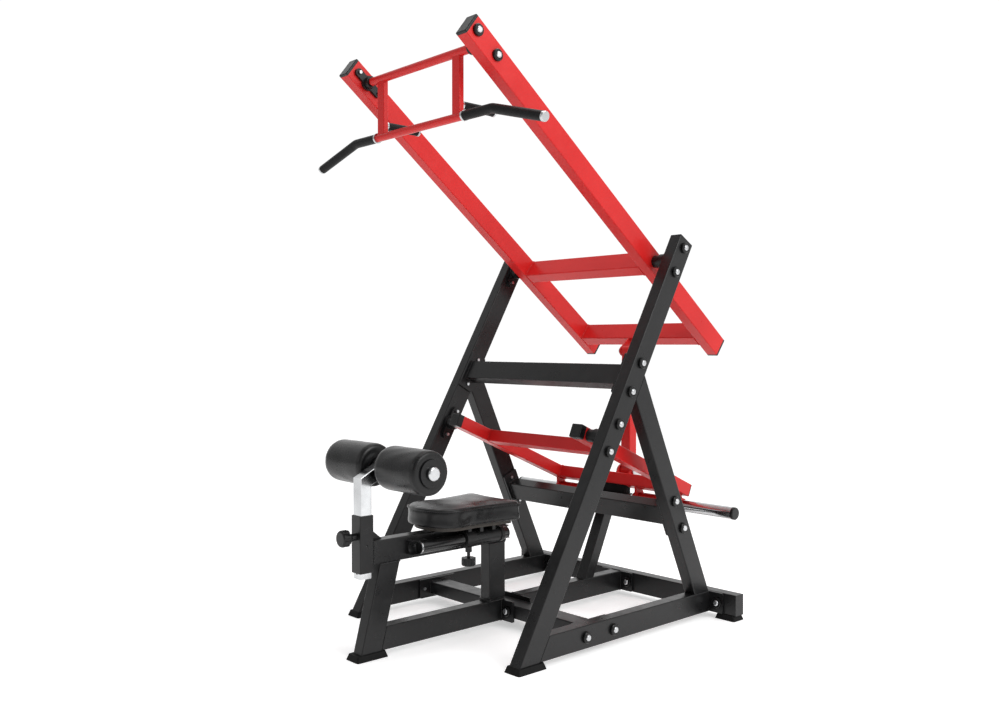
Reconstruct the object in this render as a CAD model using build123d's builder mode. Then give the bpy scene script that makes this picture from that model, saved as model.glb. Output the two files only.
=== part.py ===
"""Plate-loaded lat pulldown machine: a seat with thigh rollers in front of an A-shaped frame.

Millimetres. Z is up, X runs across the machine, and -Y is the way the seated person faces.
The origin is on the floor, under the middle of the machine's outer box.
"""
from math import atan2, cos, hypot, radians, sin, tan
import os

from build123d import *

# ---------------------------------------------------------------- driving dimensions
TUBE_W = 50.0            # frame tube, across the machine
TUBE_D = 80.0            # frame tube, in side view
WALL = 3.0
CORNER = 4.0             # outer corner radius of the rectangular tubes
PLATE = 8.0              # flange plates
FOOT_H = 20.0            # rubber under the base tubes

LEG_X = 450.0            # middle of a leg, from the middle of the machine
FRONT_LEAN = 29.84       # front leg, from upright
FRONT_LEG_Y0 = -419.6    # where the front leg's centre line meets the floor
LEG_TOP_Z = 1437.0       # end of the front leg's centre line
REAR_LEAN = 24.7
REAR_LEG_Y0 = 557.2      # where the rear leg's centre line meets the floor

BASE_TOP = FOOT_H + TUBE_D
REAR_BEAM_Y = 591.0
REAR_BEAM_HALF = 584.0
FRONT_BEAM_Y = -72.0
FRONT_BEAM_Z = 60.0

UPPER_PIVOT = (363.5, 1368.0)     # (y, z) of the upper arm's hinge
LOWER_PIVOT = (-2.0, 729.0)       # (y, z) of the weight arm's hinge
ARM_X = 336.0                     # middle of an arm tube
ARM_SLOPE = 37.5                  # upper arm's fall towards the rear, at rest
ARM_FRONT = 1152.0                # hinge to the front end of the tube
ARM_REAR = 542.8
HANDLE_AT = 1075.0                # hinge to the handle's hinge, along the arm
WEIGHT_TUBE = 50.0
WEIGHT_SLOPE = 23.5
WEIGHT_FRONT = 26.0               # hinge to the front end of the weight arm's tube
WEIGHT_REAR = 640.0

HANDLE_DROP = 213.0
HANDLE_TUBE_X = 213.0
BAR_R = 14.0
GRIP_R = 16.5
SHAFT_R = 15.0                    # pivot shafts of both arms
HANDLE_SHAFT_R = 10.0
RUNNING = 0.05                    # radial clearance of a running fit

HORN_Y = 566.0
HORN_Z = 412.0
HORN_R = 24.0
HORN_END = 577.0

SEAT_BEAM_TOP = 396.0
SEAT_LEG_Y0 = -713.5
SEAT_LEG_LEAN = 14.5
SEAT_POST_Y = -142.0
SLEEVE_Y = -728.0
SLEEVE_SIZE = 54.0
SLEEVE_BOTTOM = 292.0
SLEEVE_TOP = 484.0
POST_SIZE = 45.0
POST_BOTTOM = 272.0
ROLLER_Y = -641.0
ROLLER_Z = 640.0
ROLLER_R = 76.0
ROLLER_INNER = 38.0
ROLLER_OUTER = 262.0

BOLT_R = 6.0
WASHER_R = 20.0


# ---------------------------------------------------------------- helpers
def front_leg_y(z):
    """Y of the front leg's centre line at height z."""
    return FRONT_LEG_Y0 + z * tan(radians(FRONT_LEAN))


def rear_leg_y(z):
    """Y of the rear leg's centre line at height z."""
    return REAR_LEG_Y0 - z * tan(radians(REAR_LEAN))


def along(start, slope, distance, lift=0.0):
    """(y, z) at a distance rearwards along a tube that falls by slope degrees, lifted square to it."""
    a = radians(slope)
    y = start[0] + distance * cos(a) + lift * sin(a)
    z = start[1] - distance * sin(a) + lift * cos(a)
    return (y, z)


def side_tube(a, b, c, d, x_mid, width=TUBE_W, wall=WALL, corner=CORNER):
    """Open tube whose side view is a-b-c-d, where a-b and d-c are its long edges."""
    length = hypot(b[0] - a[0], b[1] - a[1])
    u = Vector((b[0] - a[0]) / length, (b[1] - a[1]) / length)
    across = Vector(d[0] - a[0], d[1] - a[1])
    n = Vector(-u.Y, u.X)
    n = n if n.dot(across) > 0 else n * -1
    past = u * width * 4
    inner = [Vector(*a) + n * wall - past, Vector(*b) + n * wall + past,
             Vector(*c) - n * wall + past, Vector(*d) - n * wall - past]
    with BuildPart(mode=Mode.PRIVATE) as tube:
        with BuildSketch(Plane.YZ.offset(x_mid)):
            Polygon(a, b, c, d, align=None)
        extrude(amount=width / 2, both=True)
        run = Vector(0, u.X, u.Y)
        long_edges = [e for e in tube.edges() if abs((e % 0.5).dot(run)) > 0.999]
        fillet(long_edges, corner)
        with BuildSketch(Plane.YZ.offset(x_mid)):
            Polygon(*[(p.X, p.Y) for p in inner], align=None)
        extrude(amount=width / 2 - wall, both=True, mode=Mode.SUBTRACT)
    return tube.part


def cross_tube(y, z, half_length, size_y, size_z, tilt=0.0, corner=CORNER):
    """Open tube along X, centred on the machine, turned by tilt degrees in side view."""
    with BuildPart(mode=Mode.PRIVATE) as tube:
        with BuildSketch(Plane.YZ):
            with Locations((y, z)):
                RectangleRounded(size_y, size_z, corner, rotation=tilt)
                Rectangle(size_y - 2 * WALL, size_z - 2 * WALL, rotation=tilt, mode=Mode.SUBTRACT)
        extrude(amount=half_length, both=True)
    return tube.part


def rod_x(y, z, x0, x1, radius):
    """Round bar along X, made apart from any block."""
    plane = Plane(origin=(x0, y, z), x_dir=(0, 1, 0), z_dir=(1, 0, 0))
    with BuildPart(mode=Mode.PRIVATE) as rod:
        with BuildSketch(plane):
            Circle(radius)
        extrude(amount=x1 - x0)
    return rod.part


def both_sides(shape):
    """The shape and its mirror image across the machine's middle plane."""
    return [shape, shape.mirror(Plane.YZ)]


os.makedirs("parts", exist_ok=True)

# ---------------------------------------------------------------- places worked out once
FRONT_HW = TUBE_D / 2 / cos(radians(FRONT_LEAN))     # half the front leg's level width
REAR_HW = TUBE_D / 2 / cos(radians(REAR_LEAN))
LEG_IN = LEG_X - TUBE_W / 2                          # inner faces of the legs
LEG_OUT = LEG_X + TUBE_W / 2
CROSS_HALF = LEG_IN - PLATE                          # cross tubes end at their flange plates
REAR_FACE = REAR_BEAM_Y - TUBE_W / 2                 # front face of the rear beam
FRONT_BEAM_FRONT = FRONT_BEAM_Y - TUBE_D / 2
FRONT_BEAM_BACK = FRONT_BEAM_Y + TUBE_D / 2
LEAN_SUM = tan(radians(FRONT_LEAN)) + tan(radians(REAR_LEAN))
JOINT_LOW = (REAR_LEG_Y0 - REAR_HW - FRONT_LEG_Y0 - FRONT_HW) / LEAN_SUM
JOINT_HIGH = (REAR_LEG_Y0 + REAR_HW - FRONT_LEG_Y0 - FRONT_HW) / LEAN_SUM
CROSSBAR_Z = 937.0
REAR_CROSSBAR_Z = 418.0
FRAME_BOLT_GAP = 58.0                                # crossbar bolts, above and below its middle
BEARING_BOLT_GAP = 53.0

BUMPER_TOP_REAR = along(LOWER_PIVOT, WEIGHT_SLOPE, WEIGHT_REAR - 4.0, -WEIGHT_TUBE / 2 - 0.6)
BUMPER_TOP_FRONT = along(LOWER_PIVOT, WEIGHT_SLOPE, WEIGHT_REAR - 46.0, -WEIGHT_TUBE / 2 - 0.6)
BRACKET_TOP = 431.0


def leg_point(z, step, front=True):
    """(y, z) on a leg's centre line, a step up along the leg from height z."""
    if front:
        a = radians(FRONT_LEAN)
        return (front_leg_y(z) + step * sin(a), z + step * cos(a))
    a = radians(REAR_LEAN)
    return (rear_leg_y(z) - step * sin(a), z + step * cos(a))


UPPER_BEARING_BOLTS = [leg_point(UPPER_PIVOT[1], s * BEARING_BOLT_GAP) for s in (-1, 1)]
LOWER_BEARING_BOLTS = [leg_point(LOWER_PIVOT[1], s * BEARING_BOLT_GAP) for s in (-1, 1)]
CROSSBAR_BOLTS = [leg_point(CROSSBAR_Z, s * FRAME_BOLT_GAP) for s in (-1, 1)]
REAR_CROSSBAR_BOLTS = [leg_point(REAR_CROSSBAR_Z, s * FRAME_BOLT_GAP, False) for s in (-1, 1)]
FRONT_BEAM_BOLTS = [(FRONT_BEAM_Y + s * 70.0, FRONT_BEAM_Z) for s in (-1, 1)]
FRONT_LEG_BOLTS = UPPER_BEARING_BOLTS + LOWER_BEARING_BOLTS + CROSSBAR_BOLTS

# ---------------------------------------------------------------- A-frames
lean_u = Vector(sin(radians(FRONT_LEAN)), cos(radians(FRONT_LEAN)))
lean_n = Vector(lean_u.Y, -lean_u.X)
leg_top = Vector(front_leg_y(LEG_TOP_Z), LEG_TOP_Z)
leg_top_front = leg_top - lean_n * TUBE_D / 2
leg_top_rear = leg_top + lean_n * TUBE_D / 2
front_leg = side_tube((front_leg_y(FOOT_H) - FRONT_HW, FOOT_H), (leg_top_front.X, leg_top_front.Y),
                      (leg_top_rear.X, leg_top_rear.Y), (front_leg_y(FOOT_H) + FRONT_HW, FOOT_H), LEG_X)
with BuildPart() as front_legs:
    add(front_leg)
    with BuildSketch(Plane.YZ.offset(LEG_IN - 1)):
        with Locations(*FRONT_LEG_BOLTS):
            Circle(BOLT_R + 0.2)
    extrude(amount=TUBE_W + 2, mode=Mode.SUBTRACT)
    mirror(about=Plane.YZ)
front_legs.part.label = "front_legs"
export_step(front_legs.part, "parts/front_legs.step")

rear_leg = side_tube((rear_leg_y(BASE_TOP) - REAR_HW, BASE_TOP), (rear_leg_y(JOINT_LOW) - REAR_HW, JOINT_LOW),
                     (rear_leg_y(JOINT_HIGH) + REAR_HW, JOINT_HIGH),
                     (rear_leg_y(BASE_TOP) + REAR_HW, BASE_TOP),
                     LEG_X)
with BuildPart() as rear_legs:
    add(rear_leg)
    with BuildSketch(Plane.YZ.offset(LEG_IN - 1)):
        with Locations(*REAR_CROSSBAR_BOLTS):
            Circle(BOLT_R + 0.2)
    extrude(amount=TUBE_W + 2, mode=Mode.SUBTRACT)
    mirror(about=Plane.YZ)
rear_legs.part.label = "rear_legs"
export_step(rear_legs.part, "parts/rear_legs.step")

side_base = side_tube((front_leg_y(FOOT_H) + FRONT_HW, FOOT_H), (REAR_FACE - PLATE, FOOT_H),
                      (REAR_FACE - PLATE, BASE_TOP), (front_leg_y(BASE_TOP) + FRONT_HW, BASE_TOP), LEG_X)
with BuildPart() as side_bases:
    add(side_base)
    with BuildSketch(Plane.YZ.offset(LEG_IN - 1)):
        with Locations(*FRONT_BEAM_BOLTS):
            Circle(BOLT_R + 0.2)
    extrude(amount=TUBE_W + 2, mode=Mode.SUBTRACT)
    mirror(about=Plane.YZ)
side_bases.part.label = "side_bases"
export_step(side_bases.part, "parts/side_bases.step")

# ---------------------------------------------------------------- beams across and along the base
rear_beam_tube = cross_tube(REAR_BEAM_Y, FOOT_H + TUBE_D / 2, REAR_BEAM_HALF, TUBE_W, TUBE_D)
BEAM_BOLT_X = [x + step for x in (-LEG_X, 0.0, LEG_X) for step in (-62.0, 62.0)]
BASE_MID_Z = FOOT_H + TUBE_D / 2
with BuildPart() as rear_base_beam:
    add(rear_beam_tube)
    with BuildSketch(Plane.XZ.offset(-REAR_FACE - WALL - 1)):
        with Locations(*[(x, BASE_MID_Z) for x in BEAM_BOLT_X]):
            Circle(BOLT_R + 0.2)
    extrude(amount=WALL + 2, mode=Mode.SUBTRACT)
rear_base_beam.part.label = "rear_base_beam"
export_step(rear_base_beam.part, "parts/rear_base_beam.step")

front_beam_tube = cross_tube(FRONT_BEAM_Y, FRONT_BEAM_Z, CROSS_HALF, TUBE_D, TUBE_W)
with BuildPart() as front_base_beam:
    add(front_beam_tube)
    with BuildSketch(Plane.XZ.offset(-FRONT_BEAM_BACK - 1)):
        with Locations((-55, FRONT_BEAM_Z), (55, FRONT_BEAM_Z)):
            Circle(BOLT_R + 0.2)
    extrude(amount=TUBE_D + 2, mode=Mode.SUBTRACT)
front_base_beam.part.label = "front_base_beam"
export_step(front_base_beam.part, "parts/front_base_beam.step")

centre_tube = side_tube((FRONT_BEAM_BACK + PLATE, FOOT_H), (REAR_FACE - PLATE, FOOT_H),
                        (REAR_FACE - PLATE, BASE_TOP), (FRONT_BEAM_BACK + PLATE, BASE_TOP), 0)
with BuildPart() as centre_base_tube:
    add(centre_tube)
centre_base_tube.part.label = "centre_base_tube"
export_step(centre_base_tube.part, "parts/centre_base_tube.step")

SEAT_LEG_HW = TUBE_D / 2 / cos(radians(SEAT_LEG_LEAN))
SEAT_BEAM_LOW = SEAT_BEAM_TOP - TUBE_D


def seat_leg_y(z):
    """Y of the seat leg's centre line at height z."""
    return SEAT_LEG_Y0 + z * tan(radians(SEAT_LEG_LEAN))


seat_base = side_tube((seat_leg_y(FOOT_H) + SEAT_LEG_HW, FOOT_H), (FRONT_BEAM_FRONT - PLATE, FOOT_H),
                      (FRONT_BEAM_FRONT - PLATE, BASE_TOP), (seat_leg_y(BASE_TOP) + SEAT_LEG_HW, BASE_TOP), 0)
with BuildPart() as seat_base_tube:
    add(seat_base)
seat_base_tube.part.label = "seat_base_tube"
export_step(seat_base_tube.part, "parts/seat_base_tube.step")

# ---------------------------------------------------------------- seat frame
seat_leg = side_tube((seat_leg_y(FOOT_H) - SEAT_LEG_HW, FOOT_H),
                     (seat_leg_y(SEAT_BEAM_LOW) - SEAT_LEG_HW, SEAT_BEAM_LOW),
                     (seat_leg_y(SEAT_BEAM_LOW) + SEAT_LEG_HW, SEAT_BEAM_LOW),
                     (seat_leg_y(FOOT_H) + SEAT_LEG_HW, FOOT_H), 0)
with BuildPart() as seat_front_leg:
    add(seat_leg)
seat_front_leg.part.label = "seat_front_leg"
export_step(seat_front_leg.part, "parts/seat_front_leg.step")

SLEEVE_BACK = SLEEVE_Y + SLEEVE_SIZE / 2
SEAT_BEAM_REAR = SEAT_POST_Y + TUBE_D / 2
seat_beam_tube = side_tube((SLEEVE_BACK, SEAT_BEAM_LOW), (SEAT_BEAM_REAR, SEAT_BEAM_LOW),
                           (SEAT_BEAM_REAR, SEAT_BEAM_TOP), (SLEEVE_BACK, SEAT_BEAM_TOP), 0)
with BuildPart() as seat_beam:
    add(seat_beam_tube)
seat_beam.part.label = "seat_beam"
export_step(seat_beam.part, "parts/seat_beam.step")

POST_HW = TUBE_D / 2
seat_post = side_tube((SEAT_POST_Y - POST_HW, BASE_TOP + PLATE), (SEAT_POST_Y - POST_HW, SEAT_BEAM_LOW),
                      (SEAT_POST_Y + POST_HW, SEAT_BEAM_LOW), (SEAT_POST_Y + POST_HW, BASE_TOP + PLATE), 0)
with BuildPart() as seat_rear_post:
    add(seat_post)
    with BuildSketch(Plane.XY.offset(BASE_TOP)):
        with Locations((0, SEAT_POST_Y - 5)):
            RectangleRounded(TUBE_W + 14, TUBE_D - 6, 6)
    extrude(amount=PLATE)
seat_rear_post.part.label = "seat_rear_post"
export_step(seat_rear_post.part, "parts/seat_rear_post.step")

# ---------------------------------------------------------------- crossbars and the rear strut
for_upper = cross_tube(front_leg_y(CROSSBAR_Z), CROSSBAR_Z, CROSS_HALF, TUBE_W, TUBE_D, -FRONT_LEAN)
with BuildPart() as upper_crossbar:
    add(for_upper)
upper_crossbar.part.label = "upper_crossbar"
export_step(upper_crossbar.part, "parts/upper_crossbar.step")

for_rear = cross_tube(rear_leg_y(REAR_CROSSBAR_Z), REAR_CROSSBAR_Z, CROSS_HALF, TUBE_W, TUBE_D, REAR_LEAN)
with BuildPart() as rear_crossbar:
    add(for_rear)
rear_crossbar.part.label = "rear_crossbar"
export_step(rear_crossbar.part, "parts/rear_crossbar.step")

STRUT_LEAN = 25.2
STRUT_FRONT_Y0 = 288.6             # where the strut's front face would meet the floor
STRUT_WIDE = 50.0 / cos(radians(STRUT_LEAN))
STUB_LOW = BRACKET_TOP - 6 - 40
STUB_END = 580.0


def strut_y(z):
    """Y of the strut's front face at height z."""
    return STRUT_FRONT_Y0 + z * tan(radians(STRUT_LEAN))


def crossbar_back_y(z):
    """Y of the rear crossbar's rear face at height z."""
    return rear_leg_y(z) + TUBE_W / 2 / cos(radians(REAR_LEAN))


strut = side_tube((strut_y(BASE_TOP), BASE_TOP), (strut_y(STUB_LOW), STUB_LOW),
                  (strut_y(STUB_LOW) + STRUT_WIDE, STUB_LOW), (strut_y(BASE_TOP) + STRUT_WIDE, BASE_TOP), 0)
stub = side_tube((crossbar_back_y(STUB_LOW), STUB_LOW), (STUB_END, STUB_LOW),
                 (STUB_END, STUB_LOW + 40), (crossbar_back_y(STUB_LOW + 40), STUB_LOW + 40), 0)
bumper_mid_y = (BUMPER_TOP_FRONT[0] + BUMPER_TOP_REAR[0]) / 2
with BuildPart() as rear_strut:
    add(strut)
    add(stub)
    with BuildSketch(Plane.XY.offset(BRACKET_TOP - 6)):
        with Locations((0, bumper_mid_y)):
            RectangleRounded(150, 52, 5)
    extrude(amount=6)
rear_strut.part.label = "rear_strut"
export_step(rear_strut.part, "parts/rear_strut.step")

with BuildPart() as stop_bumper:
    with BuildSketch(Plane.YZ):
        Polygon((BUMPER_TOP_FRONT[0], BRACKET_TOP), (BUMPER_TOP_REAR[0], BRACKET_TOP),
                BUMPER_TOP_REAR, BUMPER_TOP_FRONT, align=None)
    extrude(amount=70, both=True)
    fillet(stop_bumper.edges().filter_by(Axis.Z), 8)
stop_bumper.part.label = "stop_bumper"
export_step(stop_bumper.part, "parts/stop_bumper.step")

# ---------------------------------------------------------------- flange plates at the bolted ends
def flange_x(y, z, size_y, size_z, x0, tilt=0.0):
    """Plate across X against a leg or side base, on the +X side, with rounded corners."""
    with BuildPart(mode=Mode.PRIVATE) as plate:
        with BuildSketch(Plane.YZ.offset(x0)):
            with Locations((y, z)):
                RectangleRounded(size_y, size_z, 6, rotation=tilt)
        extrude(amount=PLATE)
    return plate.part


def flange_y(x, z, size_x, size_z, y0):
    """Plate across Y whose front face is at y0."""
    with BuildPart(mode=Mode.PRIVATE) as plate:
        with BuildSketch(Plane.XZ.offset(-y0 - PLATE)):
            with Locations((x, z)):
                RectangleRounded(size_x, size_z, 6)
        extrude(amount=PLATE)
    return plate.part


side_flanges = [
    flange_x(front_leg_y(CROSSBAR_Z), CROSSBAR_Z, TUBE_W + 26, 2 * FRAME_BOLT_GAP + 44, CROSS_HALF,
             -FRONT_LEAN),
    flange_x(rear_leg_y(REAR_CROSSBAR_Z), REAR_CROSSBAR_Z, TUBE_W + 26, 2 * FRAME_BOLT_GAP + 44,
             CROSS_HALF,
             REAR_LEAN),
    flange_x(FRONT_BEAM_Y, FRONT_BEAM_Z, 2 * 70 + 44, TUBE_D - 4, CROSS_HALF),
]
FLANGE_WIDE = 172.0
with BuildPart() as flange_plates:
    for plate in side_flanges:
        for shape in both_sides(plate):
            add(shape)
    for x in (-LEG_X, 0, LEG_X):
        add(flange_y(x, BASE_MID_Z, FLANGE_WIDE, TUBE_D - 2, REAR_FACE - PLATE))
    add(flange_y(0, BASE_MID_Z, FLANGE_WIDE, TUBE_D - 2, FRONT_BEAM_BACK))
    add(flange_y(0, BASE_MID_Z, FLANGE_WIDE, TUBE_D - 2, FRONT_BEAM_FRONT - PLATE))
    with BuildSketch(Plane.YZ.offset(CROSS_HALF - 1)):
        with Locations(*(CROSSBAR_BOLTS + REAR_CROSSBAR_BOLTS + FRONT_BEAM_BOLTS)):
            Circle(BOLT_R + 0.2)
    extrude(amount=PLATE + 2, mode=Mode.SUBTRACT)
    with BuildSketch(Plane.YZ.offset(-CROSS_HALF + 1)):
        with Locations(*(CROSSBAR_BOLTS + REAR_CROSSBAR_BOLTS + FRONT_BEAM_BOLTS)):
            Circle(BOLT_R + 0.2)
    extrude(amount=-PLATE - 2, mode=Mode.SUBTRACT)
    with BuildSketch(Plane.XZ.offset(-REAR_FACE - 1)):
        with Locations(*[(x, BASE_MID_Z) for x in BEAM_BOLT_X]):
            Circle(BOLT_R + 0.2)
    extrude(amount=PLATE + 2, mode=Mode.SUBTRACT)
    with BuildSketch(Plane.XZ.offset(-FRONT_BEAM_BACK - PLATE - 1)):
        with Locations((-55, FRONT_BEAM_Z), (55, FRONT_BEAM_Z)):
            Circle(BOLT_R + 0.2)
    extrude(amount=TUBE_D + 2 * PLATE + 2, mode=Mode.SUBTRACT)
flange_plates.part.label = "flange_plates"
export_step(flange_plates.part, "parts/flange_plates.step")

# ---------------------------------------------------------------- bearings, bolts and washers of the frame
def leg_bearing(pivot, bolts):
    """Two-bolt flange housing on the +X leg's inner face, bored for the pivot shaft."""
    deep = 34.0
    with BuildPart(mode=Mode.PRIVATE) as housing:
        with BuildSketch(Plane.YZ.offset(LEG_IN - 12)):
            with Locations(*bolts):
                Circle(17)
            with Locations(pivot):
                Circle(30)
                Rectangle(36, 2 * BEARING_BOLT_GAP, rotation=-FRONT_LEAN)
        extrude(amount=12)
        with BuildSketch(Plane.YZ.offset(LEG_IN - deep)):
            with Locations(pivot):
                Circle(27)
        extrude(amount=deep - 12)
        with BuildSketch(Plane.YZ.offset(LEG_IN - deep - 1)):
            with Locations(pivot):
                Circle(SHAFT_R + RUNNING)
        extrude(amount=deep + 2, mode=Mode.SUBTRACT)
        with BuildSketch(Plane.YZ.offset(LEG_IN - deep - 1)):
            with Locations(*bolts):
                Circle(BOLT_R + 0.2)
        extrude(amount=deep + 2, mode=Mode.SUBTRACT)
    return housing.part


upper_housing = leg_bearing(UPPER_PIVOT, UPPER_BEARING_BOLTS)
lower_housing = leg_bearing(LOWER_PIVOT, LOWER_BEARING_BOLTS)
with BuildPart() as leg_bearings:
    for housing in both_sides(upper_housing) + both_sides(lower_housing):
        add(housing)
leg_bearings.part.label = "leg_bearings"
export_step(leg_bearings.part, "parts/leg_bearings.step")

WASHER_H = 10.0
HEAD_R = 11.0
HEAD_H = 15.0                     # bolt head, from the tube's face to the top of its dome


def bolt(origin, direction, shank):
    """Dome-headed bolt whose head stands on the origin and whose shank runs back from it."""
    plane = Plane(origin=origin, z_dir=direction)
    with BuildPart(mode=Mode.PRIVATE) as item:
        with BuildSketch(plane.offset(-shank)):
            Circle(BOLT_R)
        extrude(amount=shank)
        with BuildSketch(plane):
            Circle(HEAD_R)
        extrude(amount=HEAD_H)
        dome = item.faces().filter_by(lambda f: abs(f.normal_at().dot(Vector(*direction)) - 1) < 1e-3)
        fillet(dome.sort_by(Axis(origin, direction))[-1].edges(), 5)
    return item.part


def washer(origin, direction):
    """Cup washer with a bevelled rim, seated on the origin, round a bolt's head."""
    plane = Plane(origin=origin, z_dir=direction)
    with BuildPart(mode=Mode.PRIVATE) as item:
        with BuildSketch(plane):
            Circle(WASHER_R)
        extrude(amount=WASHER_H)
        rim = item.faces().sort_by(Axis(origin, direction))[-1]
        chamfer(rim.edges(), 2.5)
        with BuildSketch(plane):
            Circle(HEAD_R + 0.3)
        extrude(amount=WASHER_H + 1, mode=Mode.SUBTRACT)
    return item.part


SIDE_BOLTS = CROSSBAR_BOLTS + REAR_CROSSBAR_BOLTS + FRONT_BEAM_BOLTS
BEARING_BOLTS = UPPER_BEARING_BOLTS + LOWER_BEARING_BOLTS
bolt_seats = []
for y, z in SIDE_BOLTS:
    bolt_seats.append(((LEG_OUT, y, z), (1, 0, 0), TUBE_W + PLATE + 6))
    bolt_seats.append(((-LEG_OUT, y, z), (-1, 0, 0), TUBE_W + PLATE + 6))
for y, z in BEARING_BOLTS:
    bolt_seats.append(((LEG_OUT, y, z), (1, 0, 0), TUBE_W + 22))
    bolt_seats.append(((-LEG_OUT, y, z), (-1, 0, 0), TUBE_W + 22))
for x in BEAM_BOLT_X:
    bolt_seats.append(((x, REAR_FACE - PLATE, BASE_MID_Z), (0, -1, 0), PLATE + WALL + 8))
for x in (-55, 55):
    bolt_seats.append(((x, FRONT_BEAM_FRONT - PLATE, FRONT_BEAM_Z), (0, -1, 0), TUBE_D + 2 * PLATE + 8))
with BuildPart() as frame_bolts:
    for origin, direction, shank in bolt_seats:
        add(bolt(origin, direction, shank))
frame_bolts.part.label = "frame_bolts"
export_step(frame_bolts.part, "parts/frame_bolts.step")

with BuildPart() as frame_washers:
    for origin, direction, shank in bolt_seats:
        add(washer(origin, direction))
frame_washers.part.label = "frame_washers"
export_step(frame_washers.part, "parts/frame_washers.step")

# ---------------------------------------------------------------- end caps and feet
CAP_H = 11.0
cap_plane = Plane(origin=(LEG_X, leg_top.X, leg_top.Y), x_dir=(1, 0, 0), z_dir=(0, lean_u.X, lean_u.Y))
with BuildPart(mode=Mode.PRIVATE) as leg_cap:
    with BuildSketch(cap_plane):
        RectangleRounded(TUBE_W, TUBE_D, CORNER)
    extrude(amount=CAP_H)
    fillet(leg_cap.edges().filter_by(lambda e: (e % 0.5).cross(Vector(0, lean_u.X, lean_u.Y)).length > 0.9)
           .sort_by(Axis((0, leg_top.X, leg_top.Y), (0, lean_u.X, lean_u.Y)))[-8:], 3.5)
with BuildPart(mode=Mode.PRIVATE) as beam_cap:
    with BuildSketch(Plane.YZ.offset(REAR_BEAM_HALF)):
        with Locations((REAR_BEAM_Y, BASE_MID_Z)):
            RectangleRounded(TUBE_W, TUBE_D, CORNER)
    extrude(amount=6)
with BuildPart(mode=Mode.PRIVATE) as stub_cap:
    with BuildSketch(Plane.XZ.offset(-STUB_END - 4)):
        with Locations((0, STUB_LOW + 20)):
            RectangleRounded(TUBE_W, 40, CORNER)
    extrude(amount=4)
with BuildPart(mode=Mode.PRIVATE) as seat_beam_cap:
    with BuildSketch(Plane.XZ.offset(-SEAT_BEAM_REAR - 4)):
        with Locations((0, SEAT_BEAM_TOP - TUBE_D / 2)):
            RectangleRounded(TUBE_W, TUBE_D, CORNER)
    extrude(amount=4)
with BuildPart() as tube_caps:
    for shape in both_sides(leg_cap.part) + both_sides(beam_cap.part):
        add(shape)
    add(stub_cap.part)
    add(seat_beam_cap.part)
tube_caps.part.label = "tube_caps"
export_step(tube_caps.part, "parts/tube_caps.step")


def foot(x, y, size_x, size_y):
    """Rubber shoe under a base tube, a little wider at the floor."""
    with BuildPart(mode=Mode.PRIVATE) as shoe:
        with BuildSketch(Plane.XY):
            with Locations((x, y)):
                RectangleRounded(size_x, size_y, 8)
        with BuildSketch(Plane.XY.offset(FOOT_H)):
            with Locations((x, y)):
                RectangleRounded(size_x - 14, size_y - 14, 6)
        loft()
    return shoe.part


with BuildPart() as rubber_feet:
    for side in (-1, 1):
        add(foot(side * LEG_X, -404, 74, 128))
        add(foot(side * (REAR_BEAM_HALF - 40), REAR_BEAM_Y, 90, 68))
    add(foot(0, -710, 74, 126))
rubber_feet.part.label = "rubber_feet"
export_step(rubber_feet.part, "parts/rubber_feet.step")

# ---------------------------------------------------------------- upper arm
ARM_IN = ARM_X - TUBE_W / 2
ARM_OUT = ARM_X + TUBE_W / 2
ARM_CAP = 10.0


def arm_point(distance, lift=0.0):
    """(y, z) at a distance rearwards of the upper hinge along the upper arm."""
    return along(UPPER_PIVOT, ARM_SLOPE, distance, lift)


HANDLE_PIVOT = arm_point(-HANDLE_AT)
HANDLE_BOLTS = [arm_point(-HANDLE_AT + step) for step in (-52, 52)]
arm_tube = side_tube(arm_point(-ARM_FRONT, -TUBE_D / 2), arm_point(ARM_REAR - ARM_CAP, -TUBE_D / 2),
                     arm_point(ARM_REAR - ARM_CAP, TUBE_D / 2), arm_point(-ARM_FRONT, TUBE_D / 2), ARM_X)
with BuildPart() as arm_side_tubes:
    add(arm_tube)
    with BuildSketch(Plane.YZ.offset(ARM_IN - 1)):
        with Locations(*HANDLE_BOLTS):
            Circle(BOLT_R + 0.2)
    extrude(amount=TUBE_W + 2, mode=Mode.SUBTRACT)
    with BuildSketch(Plane.YZ.offset(ARM_OUT - WALL - 1)):
        with Locations(UPPER_PIVOT):
            Circle(SHAFT_R)
    extrude(amount=WALL + 2, mode=Mode.SUBTRACT)
    mirror(about=Plane.YZ)
arm_side_tubes.part.label = "arm_side_tubes"
export_step(arm_side_tubes.part, "parts/arm_side_tubes.step")

front_cross = cross_tube(*arm_point(5), ARM_IN, TUBE_W, TUBE_D, -ARM_SLOPE)
rear_cross = cross_tube(*arm_point(445), ARM_IN, TUBE_W, TUBE_D, -ARM_SLOPE)
with BuildPart() as arm_cross_tubes:
    add(front_cross)
    add(rear_cross)
arm_cross_tubes.part.label = "arm_cross_tubes"
export_step(arm_cross_tubes.part, "parts/arm_cross_tubes.step")


def end_cap(y, z, slope, deep, thick, forward):
    """Domed plug on the +X arm tube's end, standing on (y, z) and pointing out of the tube."""
    a = radians(slope)
    sign = -1 if forward else 1
    out = (0, sign * cos(a), -sign * sin(a))
    with BuildPart(mode=Mode.PRIVATE) as cap:
        with BuildSketch(Plane(origin=(ARM_X, y, z), x_dir=(1, 0, 0), z_dir=out)):
            RectangleRounded(TUBE_W, deep, CORNER)
        extrude(amount=thick)
        far = cap.faces().sort_by(Axis((ARM_X, y, z), out))[-1]
        fillet(far.edges(), 3.5)
    return cap.part


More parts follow.
